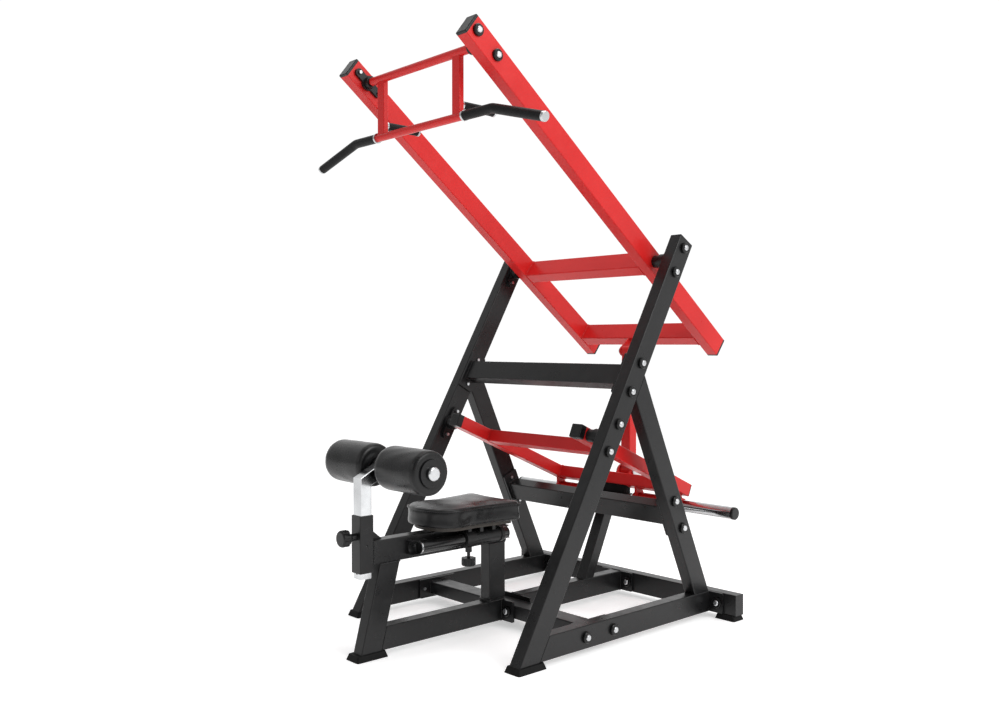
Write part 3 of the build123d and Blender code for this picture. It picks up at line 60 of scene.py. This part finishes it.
def place(tree, scale=(1, 1, 1)):
    """Object coordinates, which are metres in the shared frame, scaled."""
    coord = tree.nodes.new("ShaderNodeTexCoord")
    mapping = tree.nodes.new("ShaderNodeMapping")
    mapping.inputs["Scale"].default_value = scale
    tree.links.new(coord.outputs["Object"], mapping.inputs["Vector"])
    return mapping.outputs[0]


def noise(tree, where, scale, detail=3.0, rough=0.5, twist=0.0):
    node = tree.nodes.new("ShaderNodeTexNoise")
    node.inputs["Scale"].default_value = scale
    node.inputs["Detail"].default_value = detail
    node.inputs["Roughness"].default_value = rough
    node.inputs["Distortion"].default_value = twist
    tree.links.new(where, node.inputs["Vector"])
    return node.outputs["Fac"]


def cells(tree, where, scale, feature="F1"):
    node = tree.nodes.new("ShaderNodeTexVoronoi")
    node.feature = feature
    node.inputs["Scale"].default_value = scale
    tree.links.new(where, node.inputs["Vector"])
    return node.outputs["Distance"]


def remap(tree, value, low, high, to_low=0.0, to_high=1.0):
    node = tree.nodes.new("ShaderNodeMapRange")
    for key, number in (("From Min", low), ("From Max", high), ("To Min", to_low), ("To Max", to_high)):
        node.inputs[key].default_value = number
    tree.links.new(value, node.inputs["Value"])
    return node.outputs[0]


def math_node(tree, kind, a, b):
    node = tree.nodes.new("ShaderNodeMath")
    node.operation = kind
    for socket, value in ((node.inputs[0], a), (node.inputs[1], b)):
        if isinstance(value, (int, float)):
            socket.default_value = value
        else:
            tree.links.new(value, socket)
    return node.outputs[0]


def blend_colours(tree, share, a, b):
    """Colour from a to b by share. Each may be a colour or a socket."""
    node = tree.nodes.new("ShaderNodeMix")
    node.data_type = "RGBA"
    tree.links.new(share, node.inputs["Factor"])
    for socket, value in ((node.inputs[6], a), (node.inputs[7], b)):
        if isinstance(value, tuple):
            socket.default_value = (*value, 1)
        else:
            tree.links.new(value, socket)
    return node.outputs[2]


def bump(tree, shader, *layers):
    """Stacks (height, strength, distance in metres) layers on the shader's normal."""
    normal = None
    for height, strength, distance in layers:
        node = tree.nodes.new("ShaderNodeBump")
        node.inputs["Strength"].default_value = strength
        node.inputs["Distance"].default_value = distance
        tree.links.new(height, node.inputs["Height"])
        if normal is not None:
            tree.links.new(normal, node.inputs["Normal"])
        normal = node.outputs[0]
    tree.links.new(normal, shader.inputs["Normal"])


def edge_mask(tree, radius):
    """1 along outer edges and rounded corners, 0 on flat faces."""
    bevel = tree.nodes.new("ShaderNodeBevel")
    bevel.samples = 4
    bevel.inputs["Radius"].default_value = radius
    geometry = tree.nodes.new("ShaderNodeNewGeometry")
    dot = tree.nodes.new("ShaderNodeVectorMath")
    dot.operation = "DOT_PRODUCT"
    tree.links.new(bevel.outputs[0], dot.inputs[0])
    tree.links.new(geometry.outputs["Normal"], dot.inputs[1])
    return remap(tree, dot.outputs["Value"], 0.995, 0.90)


# ------------------------------------------------------------------ materials
def powder_coat(name, dark, light, worn, rough, coat=0.0, shine=0.4):
    """Baked paint with fine orange peel, uneven tone and lighter edges, partly rubbed wear and partly
    painted highlight.
    """
    mat, tree, shader = new_material(name)
    where = place(tree)
    broad = noise(tree, where, 2.6, 4, 0.6)
    cloud = noise(tree, where, 23, 5, 0.65)
    peel = noise(tree, where, 520, 2, 0.45)
    speck = noise(tree, where, 1500, 1, 0.5)
    tone = blend_colours(tree, remap(tree, broad, 0.3, 0.7), dark, light)
    dust = math_node(tree, "MULTIPLY", remap(tree, cloud, 0.52, 0.78), 0.10)
    tone = blend_colours(tree, dust, tone, worn)
    # Lighter edges: partly rubbed wear, partly a painted highlight along edges and fillets; the worn tone
    # serves both.
    edge_wear_and_highlight = math_node(tree, "MULTIPLY", edge_mask(tree, 0.0022),
                    remap(tree, cloud, 0.40, 0.66, 0.05, 0.42))
    tone = blend_colours(tree, edge_wear_and_highlight, tone, worn)
    tree.links.new(tone, shader.inputs["Base Color"])
    tree.links.new(remap(tree, cloud, 0.3, 0.75, rough - 0.05, rough + 0.10),
                   shader.inputs["Roughness"])
    shader.inputs["Specular IOR Level"].default_value = shine
    shader.inputs["Coat Weight"].default_value = coat
    shader.inputs["Coat Roughness"].default_value = 0.22
    bump(tree, shader, (peel, 0.10, 0.0006), (speck, 0.05, 0.0003))
    return mat


def bright_metal(name, tone, rough, streak=(1, 1, 1), spots=0.0):
    """Plated steel with fine draw lines and faint smudges."""
    mat, tree, shader = new_material(name)
    where = place(tree)
    lines = noise(tree, place(tree, streak), 90, 4, 0.6)
    smudge = noise(tree, where, 14, 4, 0.6, 0.4)
    dark = tuple(c * 0.80 for c in tone)
    base = blend_colours(tree, remap(tree, smudge, 0.35, 0.75), tone, dark)
    tree.links.new(base, shader.inputs["Base Color"])
    shader.inputs["Metallic"].default_value = 1.0
    haze = math_node(tree, "ADD", remap(tree, smudge, 0.3, 0.8, rough, rough + 0.10 + spots),
                     remap(tree, lines, 0.3, 0.7, -0.02, 0.03))
    tree.links.new(haze, shader.inputs["Roughness"])
    bump(tree, shader, (lines, 0.06, 0.0003), (noise(tree, where, 900, 2), 0.03, 0.0002))
    return mat


def moulded(name, tone, rough, grain=900.0, depth=0.12):
    """Moulded plastic with a fine spark-eroded grain and lighter edges, partly scuffs and partly painted
    highlight.
    """
    mat, tree, shader = new_material(name)
    where = place(tree)
    cloud = noise(tree, where, 35, 4, 0.6)
    grit = noise(tree, where, grain, 2, 0.6)
    light = tuple(min(1.0, c * 1.7 + 0.002) for c in tone)
    # Pale edge tone, used below along the edge mask: partly scuffs, partly a painted highlight.
    scuff_and_highlight_tone = tuple(min(1.0, c * 2.2 + 0.02) for c in tone)
    shader.inputs["Specular IOR Level"].default_value = 0.3
    base = blend_colours(tree, remap(tree, cloud, 0.35, 0.75), tone, light)
    edge_wear_and_highlight = math_node(tree, "MULTIPLY", edge_mask(tree, 0.0014), 0.35)
    tree.links.new(blend_colours(tree, edge_wear_and_highlight, base, scuff_and_highlight_tone), shader.inputs["Base Color"])
    tree.links.new(remap(tree, cloud, 0.3, 0.7, rough - 0.06, rough + 0.08), shader.inputs["Roughness"])
    bump(tree, shader, (grit, depth, 0.0004))
    return mat


def rubbery(name, tone, rough, ribs=None):
    """Rubber with a dull bloom. ribs is (axis, wave scale) for moulded rings."""
    mat, tree, shader = new_material(name)
    where = place(tree)
    bloom = noise(tree, where, 28, 5, 0.65)
    pores = cells(tree, where, 900)
    pale = tuple(min(1.0, c * 1.8 + 0.003) for c in tone)
    shader.inputs["Specular IOR Level"].default_value = 0.12
    tree.links.new(blend_colours(tree, remap(tree, bloom, 0.4, 0.8), tone, pale),
                   shader.inputs["Base Color"])
    tree.links.new(remap(tree, bloom, 0.3, 0.7, rough - 0.05, rough + 0.1), shader.inputs["Roughness"])
    layers = [(pores, 0.14, 0.0004)]
    if ribs:
        wave = tree.nodes.new("ShaderNodeTexWave")
        wave.bands_direction = ribs[0]
        wave.inputs["Scale"].default_value = ribs[1]
        tree.links.new(where, wave.inputs["Vector"])
        layers.append((wave.outputs["Fac"], 0.35, 0.0005))
    bump(tree, shader, *layers)
    return mat


def vinyl(name, tone, rough, grain=520.0):
    """Upholstery vinyl: pebbled grain, creases and a worn sheen."""
    mat, tree, shader = new_material(name)
    where = place(tree)
    pebble = cells(tree, where, grain, "SMOOTH_F1")
    fold = cells(tree, where, grain * 0.33, "DISTANCE_TO_EDGE")
    crease = noise(tree, place(tree, (1, 1, 1.6)), 26, 5, 0.62, 1.2)
    shade = noise(tree, where, 7, 4, 0.6)
    light = tuple(c * 1.7 + 0.002 for c in tone)
    shader.inputs["Specular IOR Level"].default_value = 0.3
    base = blend_colours(tree, remap(tree, shade, 0.3, 0.75), tone, light)
    pits = math_node(tree, "MULTIPLY", remap(tree, pebble, 0.25, 0.6), 0.35)
    dark = tuple(c * 0.55 for c in tone)
    tree.links.new(blend_colours(tree, pits, base, dark), shader.inputs["Base Color"])
    tree.links.new(remap(tree, shade, 0.3, 0.7, rough - 0.05, rough + 0.09), shader.inputs["Roughness"])
    shader.inputs["Sheen Weight"].default_value = 0.02
    bump(tree, shader, (crease, 0.10, 0.0012), (fold, 0.20, 0.0005), (pebble, 0.30, 0.0005))
    return mat


def stained_board(name):
    """Birch ply stained black, its grain along the seat."""
    mat, tree, shader = new_material(name)
    grain = noise(tree, place(tree, (22, 1.4, 60)), 9, 6, 0.65, 0.6)
    tree.links.new(blend_colours(tree, grain, (0.012, 0.011, 0.010), (0.060, 0.048, 0.038)),
                   shader.inputs["Base Color"])
    tree.links.new(remap(tree, grain, 0.3, 0.7, 0.5, 0.7), shader.inputs["Roughness"])
    bump(tree, shader, (grain, 0.3, 0.0006))
    return mat


BLACK = powder_coat("black_powder_coat", (0.0060, 0.0060, 0.0064), (0.0100, 0.0100, 0.0104),
                    (0.045, 0.045, 0.047), 0.30, shine=0.32)
RED = powder_coat("red_powder_coat", (0.50, 0.010, 0.010), (0.58, 0.015, 0.014),
                  (0.66, 0.06, 0.05), 0.32, coat=0.1, shine=0.22)
ROD = powder_coat("gloss_black_rod", (0.0030, 0.0030, 0.0033), (0.0055, 0.0055, 0.0058),
                  (0.030, 0.030, 0.030), 0.14, coat=0.3)
CHROME = bright_metal("chrome_plate", (0.60, 0.61, 0.62), 0.09)
HORN_CHROME = bright_metal("chrome_horn", (0.66, 0.67, 0.68), 0.10, (1, 14, 14))
ZINC = bright_metal("zinc_plate", (0.60, 0.61, 0.62), 0.24, spots=0.08)
HOUSING = moulded("cast_housing", (0.005, 0.005, 0.0054), 0.36, 420, 0.35)
PLASTIC = moulded("black_moulding", (0.004, 0.004, 0.0043), 0.30)
CUP = moulded("black_cup_washer", (0.002, 0.002, 0.0022), 0.26)
RUBBER = rubbery("black_rubber", (0.005, 0.005, 0.005), 0.60)
GRIP = rubbery("grip_sleeve", (0.005, 0.005, 0.0053), 0.40, ("X", 60.0))
NEUTRAL_GRIP = rubbery("neutral_grip_sleeve", (0.005, 0.005, 0.0053), 0.40, ("Y", 60.0))
SEAT_VINYL = vinyl("seat_vinyl", (0.0050, 0.0050, 0.0053), 0.27)
ROLLER_VINYL = vinyl("roller_vinyl", (0.0040, 0.0040, 0.0043), 0.27, 640.0)
BOARD = stained_board("stained_board")

FINISH = {
    BLACK: ["front_legs", "rear_legs", "side_bases", "rear_base_beam", "front_base_beam",
            "centre_base_tube", "seat_base_tube", "seat_front_leg", "seat_beam", "seat_rear_post",
            "upper_crossbar", "rear_crossbar", "rear_strut", "flange_plates", "post_sleeve",
            "seat_carriage", "rod_blocks", "arm_pivot_shafts", "weight_arm_shafts"],
    RED: ["arm_side_tubes", "arm_cross_tubes", "arm_link_lug", "handle_side_tubes", "handle_bars",
          "link_tube", "weight_arm_tubes", "weight_arm_cross_tubes", "weight_arm_lug", "horn_carriers"],
    ROD: ["guide_rods"],
    CHROME: ["roller_post", "rod_end_rings", "grip_collars", "axle_caps"],
    HORN_CHROME: ["weight_horns"],
    ZINC: ["frame_bolts", "arm_bolts", "link_pins", "roller_axle"],
    HOUSING: ["leg_bearings", "handle_bearings"],
    PLASTIC: ["tube_caps", "arm_end_caps", "weight_arm_caps", "horn_caps", "rod_end_plugs",
              "roller_hub_left", "roller_hub_right", "post_pull_pin", "seat_pull_pin"],
    CUP: ["frame_washers", "arm_washers"],
    RUBBER: ["rubber_feet", "stop_bumper"],
    GRIP: ["outer_grips"],
    NEUTRAL_GRIP: ["neutral_grips"],
    SEAT_VINYL: ["seat_cushion"],
    ROLLER_VINYL: ["foam_roller_left", "foam_roller_right"],
    BOARD: ["seat_board"],
}
for mat, names in FINISH.items():
    for name in names:
        node = nodes[name]
        node.data.materials.clear()
        node.data.materials.append(mat)


# ------------------------------------------------------------------ mesh helpers
def mesh_object(name, verts, faces, mat, smooth=True):
    mesh = bpy.data.meshes.new(name)
    mesh.from_pydata([tuple(v) for v in verts], [], faces)
    mesh.validate()
    obj = bpy.data.objects.new(name, mesh)
    bpy.context.scene.collection.objects.link(obj)
    mesh.materials.append(mat)
    if smooth:
        mesh.polygons.foreach_set("use_smooth", [True] * len(mesh.polygons))
    return obj


def apply_modifiers(obj):
    """Bakes obj's modifiers into its mesh at the current frame."""
    graph = bpy.context.evaluated_depsgraph_get()
    mesh = bpy.data.meshes.new_from_object(obj.evaluated_get(graph), depsgraph=graph)
    obj.modifiers.clear()
    old = obj.data
    obj.data = mesh
    bpy.data.meshes.remove(old)


def points(obj):
    """An object's vertices as an array."""
    flat = np.empty(len(obj.data.vertices) * 3)
    obj.data.vertices.foreach_get("co", flat)
    return flat.reshape(-1, 3)


def set_points(obj, array):
    obj.data.vertices.foreach_set("co", array.ravel())
    obj.data.update()


PRESSURE = 4.0
LAST_FRAME = 20


def swell(obj, pinned, voxel, cap):
    """Remeshes obj, then inflates it as cloth with the pinned points held.

    No point ends more than cap from where it began.
    """
    remesh = obj.modifiers.new("remesh", "REMESH")
    remesh.mode = "VOXEL"
    remesh.voxel_size = voxel
    apply_modifiers(obj)
    start = points(obj)
    group = obj.vertex_groups.new(name="held")
    for i in np.nonzero(pinned(start))[0]:
        group.add([int(i)], 1.0, "REPLACE")
    cloth = obj.modifiers.new("cloth", "CLOTH")
    cloth.settings.vertex_group_mass = "held"
    cloth.settings.use_pressure = True
    cloth.settings.uniform_pressure_force = PRESSURE
    cloth.settings.quality = 5
    cloth.settings.mass = 0.3
    cloth.settings.tension_stiffness = 30
    cloth.settings.compression_stiffness = 30
    cloth.settings.bending_stiffness = 2.0
    cloth.settings.effector_weights.gravity = 0.0
    cloth.point_cache.frame_start = 1
    cloth.point_cache.frame_end = LAST_FRAME
    for step in range(1, LAST_FRAME + 1):
        bpy.context.scene.frame_set(step)
    apply_modifiers(obj)
    bpy.context.scene.frame_set(1)
    move = points(obj) - start
    far = np.linalg.norm(move, axis=1, keepdims=True)
    set_points(obj, start + move * np.minimum(1.0, cap / np.maximum(far, 1e-9)))
    obj.vertex_groups.clear()


def ring_faces(count, sides):
    """Quads of a closed loop of rings, each with the same number of points."""
    faces = []
    for i in range(count):
        j = (i + 1) % count
        for k in range(sides):
            m = (k + 1) % sides
            faces.append((i * sides + k, i * sides + m, j * sides + m, j * sides + k))
    return faces


def cord_loop(name, path, radius, mat, sides=8):
    """Round cord along a level, closed list of points, as one mesh."""
    path = [Vector(p) for p in path]
    count = len(path)
    verts = []
    for i, p in enumerate(path):
        ahead = (path[(i + 1) % count] - path[i - 1]).normalized()
        side = ahead.cross(Vector((0, 0, 1))).normalized()
        up = side.cross(ahead).normalized()
        for k in range(sides):
            a = 2 * math.pi * k / sides
            verts.append(p + side * (radius * math.cos(a)) + up * (radius * math.sin(a)))
    return mesh_object(name, verts, ring_faces(count, sides), mat)


# ------------------------------------------------------------------ seat cushion
seat_low, seat_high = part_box("seat_cushion")
SEAT_MID_Y = (seat_low.y + seat_high.y) / 2
SEAM_Z = seat_high.z - 0.019
SEAM_GROOVE = 0.0022
OUTLINE_POINTS = 320
OUTLINE_PASSES = 4
CORD_R = 0.0019
CORD_INSET = 0.0032


def seat_outline(inset):
    """The CAD cushion's base outline as evenly spaced (x, y) points, drawn in by inset."""
    co = points(nodes["seat_cushion"])
    base = co[co[:, 2] < seat_low.z + 0.0005][:, :2]
    base = base[np.argsort(np.arctan2(base[:, 1] - SEAT_MID_Y, base[:, 0]))]
    gap = np.linalg.norm(np.diff(base, axis=0, append=base[:1]), axis=1)
    base = base[gap > 1e-5]
    ring = np.vstack([base, base[:1]])
    run = np.concatenate([[0.0], np.cumsum(np.linalg.norm(np.diff(ring, axis=0), axis=1))])
    at = np.linspace(0.0, run[-1], OUTLINE_POINTS, endpoint=False)
    x, y = np.interp(at, run, ring[:, 0]), np.interp(at, run, ring[:, 1])
    for _ in range(OUTLINE_PASSES):
        x = (np.roll(x, 1) + 2 * x + np.roll(x, -1)) / 4
        y = (np.roll(y, 1) + 2 * y + np.roll(y, -1)) / 4
    along = np.stack([np.roll(x, -1) - np.roll(x, 1), np.roll(y, -1) - np.roll(y, 1)], axis=1)
    along /= np.linalg.norm(along, axis=1, keepdims=True)
    return list(zip(x - along[:, 1] * inset, y + along[:, 0] * inset))


def build_cushion():
    """Crowned pad: flat base, sides that pull in a little, a soft shoulder and a domed top."""
    crown = seat_high.z - 0.004
    rings = [(0.012, seat_low.z + 0.001), (0.004, seat_low.z + 0.003), (0.0035, seat_low.z + 0.012),
             (0.0065, seat_low.z + 0.030), (0.0045, seat_low.z + 0.047), (0.0030, SEAM_Z - 0.004),
             (0.0060, SEAM_Z + 0.004), (0.016, SEAM_Z + 0.0085), (0.034, crown - 0.0075),
             (0.062, crown - 0.0045), (0.095, crown - 0.0025)]
    verts, faces = [], []
    ring = seat_outline(0.0)
    count = len(ring)
    for inset, z in rings:
        for x, y in ring:
            reach = math.hypot(x, y - SEAT_MID_Y)
            k = max(0.0, (reach - inset) / reach)
            verts.append((x * k, SEAT_MID_Y + (y - SEAT_MID_Y) * k, z))
    for level in range(len(rings) - 1):
        for i in range(count):
            j = (i + 1) % count
            a, b = level * count, (level + 1) * count
            faces.append((a + i, a + j, b + j, b + i))
    top = len(verts)
    verts.append((0.0, SEAT_MID_Y, crown - 0.002))
    last = (len(rings) - 1) * count
    for i in range(count):
        faces.append((last + i, last + (i + 1) % count, top))
    low = len(verts)
    verts.append((0.0, SEAT_MID_Y, seat_low.z + 0.001))
    for i in range(count):
        faces.append(((i + 1) % count, i, low))
    return mesh_object("seat_pad", verts, faces, SEAT_VINYL)


cushion = build_cushion()
swell(cushion, lambda p: p[:, 2] < seat_low.z + 0.006, voxel=0.0045, cap=0.0022)

co = points(cushion)
outline = np.array(seat_outline(0.0))
to_edge = np.array([np.min(np.hypot(outline[:, 0] - x, outline[:, 1] - y)) for x, y, z in co])
seam = np.exp(-((co[:, 2] - SEAM_Z) / 0.0026) ** 2) * (to_edge < 0.022)
away = co[:, :2] - np.array([0.0, SEAT_MID_Y])
away /= np.maximum(np.linalg.norm(away, axis=1, keepdims=True), 1e-9)
co[:, :2] -= away * (seam * SEAM_GROOVE)[:, None]
pucker = np.sin(co[:, 0] * 210 + 3 * np.sin(co[:, 1] * 60))
pucker = pucker * np.sin(co[:, 1] * 230 + 2 * np.sin(co[:, 0] * 70))
near_seam = np.exp(-((co[:, 2] - SEAM_Z) / 0.010) ** 2) * (to_edge < 0.03)
co[:, 2] += pucker * near_seam * 0.0003
co[:, 2] = np.clip(co[:, 2], seat_low.z + 0.0006, seat_high.z)
set_points(cushion, co)
smooth = cushion.modifiers.new("smooth", "SMOOTH")
smooth.factor = 0.5
smooth.iterations = 12
soft = cushion.modifiers.new("round", "SUBSURF")
soft.levels = soft.render_levels = 1
apply_modifiers(cushion)
cushion.data.polygons.foreach_set("use_smooth", [True] * len(cushion.data.polygons))
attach(cushion, "seat")
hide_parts("seat_cushion")

rim = [(x, y, SEAM_Z) for x, y in seat_outline(CORD_INSET)]
piping = cord_loop("seat_seam_cord", rim, CORD_R, SEAT_VINYL)
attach(piping, "seat")


# ------------------------------------------------------------------ foam rollers
ROLLER_BORE = 0.0225
ROLLER_HELD = 0.050      # the ends inside this radius stay where they are
ROLLER_SHOULDER = 0.0105
ROLLER_STEPS = 26
ROLLER_TURNS = 96


def build_roller(name, node):
    """Foam sleeve under a vinyl wrap: turned form with soft shoulders and a pulled-in end seam."""
    low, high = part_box(node)
    mid = (low + high) / 2
    radius = (high.z - low.z) / 2
    x0, x1 = low.x, high.x
    shoulder = [(0.0035, ROLLER_BORE), (0.0035, 0.030), (0.0015, 0.050), (0.0010, 0.060),
                (0.0035, radius - 0.0075), (ROLLER_SHOULDER, radius - 0.0018)]
    profile = [(x0 + inward, r) for inward, r in shoulder]
    for k in range(1, ROLLER_STEPS):
        run = (x1 - x0 - 2 * ROLLER_SHOULDER) * k / ROLLER_STEPS
        profile.append((x0 + ROLLER_SHOULDER + run, radius - 0.0012))
    profile += [(x1 - inward, r) for inward, r in reversed(shoulder)]
    verts = []
    for x, r in profile:
        for k in range(ROLLER_TURNS):
            a = 2 * math.pi * k / ROLLER_TURNS
            verts.append((x, mid.y + r * math.cos(a), mid.z + r * math.sin(a)))
    obj = mesh_object(name, verts, ring_faces(len(profile), ROLLER_TURNS), ROLLER_VINYL)
    swell(obj, lambda p: np.hypot(p[:, 1] - mid.y, p[:, 2] - mid.z) < ROLLER_HELD,
          voxel=0.0048, cap=0.0035)
    co = points(obj)
    radial = np.hypot(co[:, 1] - mid.y, co[:, 2] - mid.z)
    angle = np.arctan2(co[:, 2] - mid.z, co[:, 1] - mid.y)
    outer = radial > radius - 0.012
    dent = 0.0006 * np.sin(co[:, 0] * 42 + 2 * np.sin(angle * 3)) * np.sin(angle * 5 + co[:, 0] * 19)
    end = np.minimum(co[:, 0] - x0, x1 - co[:, 0])
    tuck = 0.0016 * np.exp(-((end - 0.0135) / 0.0022) ** 2)
    pleat = 0.0006 * np.sin(angle * 46) * np.exp(-((end - 0.008) / 0.007) ** 2)
    new = np.minimum(radial + np.where(outer, dent - tuck + pleat, 0), radius + 0.002)
    co[:, 1] = mid.y + np.cos(angle) * new
    co[:, 2] = mid.z + np.sin(angle) * new
    co[:, 0] = np.clip(co[:, 0], x0 + 0.0004, x1 - 0.0004)
    set_points(obj, co)
    relax = obj.modifiers.new("relax", "SMOOTH")
    relax.factor = 0.4
    relax.iterations = 2
    soft = obj.modifiers.new("round", "SUBSURF")
    soft.levels = soft.render_levels = 1
    apply_modifiers(obj)
    obj.data.polygons.foreach_set("use_smooth", [True] * len(obj.data.polygons))
    return obj


right_roller = build_roller("roller_pad_right", "foam_roller_right")
left_roller = right_roller.copy()
left_roller.data = right_roller.data.copy()
left_roller.name = "roller_pad_left"
bpy.context.scene.collection.objects.link(left_roller)
flip = points(left_roller)
flip[:, 0] *= -1
set_points(left_roller, flip)
left_roller.data.flip_normals()
for roller, side in ((right_roller, "right"), (left_roller, "left")):
    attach(roller, "roller_" + side)
    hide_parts("foam_roller_" + side)


# ------------------------------------------------------------------ weld beads
BEAD_R = 0.0023
BEAD_STEP = 0.0016
BEAD_SIDES = 6
BEAD_INSET = 0.0012
ON_END = 0.0004          # how near a vertex lies to a tube's end face
ONE_TUBE = 0.085         # points of one tube's end are nearer together than this


def hull(pts):
    """Convex outline of 2-D points, going round once."""
    pts = sorted(set(pts))
    sides = []
    for run in (pts, pts[::-1]):
        chain = []
        for p in run:
            while len(chain) > 1:
                (ax, ay), (bx, by) = chain[-2], chain[-1]
                if (bx - ax) * (p[1] - ay) - (by - ay) * (p[0] - ax) > 0:
                    break
                chain.pop()
            chain.append(p)
        sides += chain[:-1]
    return sides


def clusters(pts, reach):
    """Groups of 2-D points that lie within reach of one another."""
    left = list(pts)
    groups = []
    while left:
        group, queue = [], [left.pop()]
        while queue:
            p = queue.pop()
            group.append(p)
            near = [q for q in left if math.hypot(p[0] - q[0], p[1] - q[1]) < reach]
            left = [q for q in left if q not in near]
            queue += near
        groups.append(group)
    return groups


def bead_ring(outline, axis, level, phase):
    """Rippled bead round a tube end that lies at level along an axis."""
    path = []
    for i, (u, v) in enumerate(outline):
        u2, v2 = outline[(i + 1) % len(outline)]
        steps = max(1, round(math.hypot(u2 - u, v2 - v) / BEAD_STEP))
        for k in range(steps):
            t = k / steps
            path.append((u + (u2 - u) * t, v + (v2 - v) * t))
    count = len(path)
    verts = []
    for i, (u, v) in enumerate(path):
        before, after = path[i - 1], path[(i + 1) % count]
        du, dv = after[0] - before[0], after[1] - before[1]
        length = max(math.hypot(du, dv), 1e-9)
        out_u, out_v = dv / length, -du / length
        fat = 1 + 0.20 * math.sin(i * 1.6 + phase) + 0.10 * math.sin(i * 0.37 + 2 * phase)
        off = BEAD_R * fat
        for k in range(BEAD_SIDES):
            a = 2 * math.pi * k / BEAD_SIDES
            spot = [u + out_u * off * math.cos(a), v + out_v * off * math.cos(a)]
            spot.insert(axis, level + off * math.sin(a))
            verts.append(spot)
    return verts, ring_faces(count, BEAD_SIDES)


def weld(body, mat, ends):
    """One object with the beads round the tube ends (node, axis, which end) of a body."""
    verts, faces = [], []
    for order, (name, axis, side) in enumerate(ends):
        co = points(nodes[name])
        edge = co[:, axis].max() if side > 0 else co[:, axis].min()
        at_end = co[np.abs(co[:, axis] - edge) < ON_END]
        flat_pts = [tuple(float(c) for j, c in enumerate(p) if j != axis) for p in at_end]
        for group in clusters(set(flat_pts), ONE_TUBE):
            if len(group) < 4:
                continue
            bead, quads = bead_ring(hull(group), axis, float(edge) - side * BEAD_INSET, 1.3 * order)
            base = len(verts)
            verts += bead
            faces += [tuple(base + i for i in quad) for quad in quads]
    obj = mesh_object("weld_beads_" + body, verts, faces, mat)
    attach(obj, body)


weld("frame", BLACK,
     [(name, 0, side) for name in ("upper_crossbar", "rear_crossbar", "front_base_beam") for side in (-1, 1)]
     + [(name, 1, side) for name in ("centre_base_tube", "seat_base_tube") for side in (-1, 1)]
     + [("seat_beam", 1, -1), ("seat_rear_post", 2, 1), ("seat_rear_post", 2, -1), ("seat_front_leg", 2, 1)])
weld("upper_arm", RED, [("arm_cross_tubes", 0, side) for side in (-1, 1)])
weld("weight_arm", RED, [("weight_arm_cross_tubes", 0, side) for side in (-1, 1)])


# ------------------------------------------------------------------ floor, light and camera
def flat(name, size, z, mat):
    verts = [(-size, -size, z), (size, -size, z), (size, size, z), (-size, size, z)]
    return mesh_object(name, verts, [(0, 1, 2, 3)], mat, smooth=False)


floor_mat, floor_tree, floor_shader = new_material("pale_floor")
floor_where = place(floor_tree)
floor_fleck = noise(floor_tree, floor_where, 6, 4)
floor_tree.links.new(blend_colours(floor_tree, floor_fleck, (0.90, 0.90, 0.90), (0.94, 0.94, 0.94)),
                     floor_shader.inputs["Base Color"])
floor_shader.inputs["Roughness"].default_value = 0.65
floor_shader.inputs["Specular IOR Level"].default_value = 0.2
floor_shader.inputs["Emission Color"].default_value = (1, 1, 1, 1)
floor_shader.inputs["Emission Strength"].default_value = 0.46
floor = flat("studio_floor", 40.0, -0.0006, floor_mat)

world = bpy.data.worlds.new("studio")
bpy.context.scene.world = world
world.use_nodes = True
background = world.node_tree.nodes["Background"]
sky = world.node_tree
direction = sky.nodes.new("ShaderNodeTexCoord")
parts = sky.nodes.new("ShaderNodeSeparateXYZ")
sky.links.new(direction.outputs["Generated"], parts.inputs[0])
wall = remap(sky, parts.outputs["Y"], -0.75, 0.05, 0.30, 1.0)
ceiling = remap(sky, parts.outputs["Z"], 0.45, 0.9, 1.0, 0.55)
shade = math_node(sky, "MULTIPLY", wall, ceiling)
sky.links.new(blend_colours(sky, shade, (0.0, 0.0, 0.0), (1.0, 1.0, 1.0)), background.inputs["Color"])
background.inputs["Strength"].default_value = 1.04


def soft_box(name, at, target, size, power):
    data = bpy.data.lights.new(name, "AREA")
    data.shape = "RECTANGLE"
    data.size, data.size_y = size
    data.energy = power
    lamp = bpy.data.objects.new(name, data)
    bpy.context.scene.collection.objects.link(lamp)
    lamp.location = at
    lamp.rotation_euler = (Vector(target) - Vector(at)).to_track_quat("-Z", "Y").to_euler()


soft_box("key", (4.2, 0.6, 3.4), (0, 0, 1.0), (2.6, 2.6), 105)
soft_box("fill", (-1.6, -4.4, 2.6), (0, 0, 0.9), (2.5, 2.5), 14)
soft_box("top", (0.0, 0.3, 4.6), (0, 0, 0.5), (2.4, 2.4), 45)

camera_data = bpy.data.cameras.new("camera")
camera_data.sensor_width = 36.0
camera_data.lens = 35.36
camera_data.clip_end = 120.0
camera = bpy.data.objects.new("camera", camera_data)
camera.location = (2.732, -2.592, 1.059)
camera.rotation_euler = (math.radians(89.01), 0.0, math.radians(47.70))
bpy.context.scene.collection.objects.link(camera)
bpy.context.scene.camera = camera
bpy.context.scene.view_settings.view_transform = "Standard"
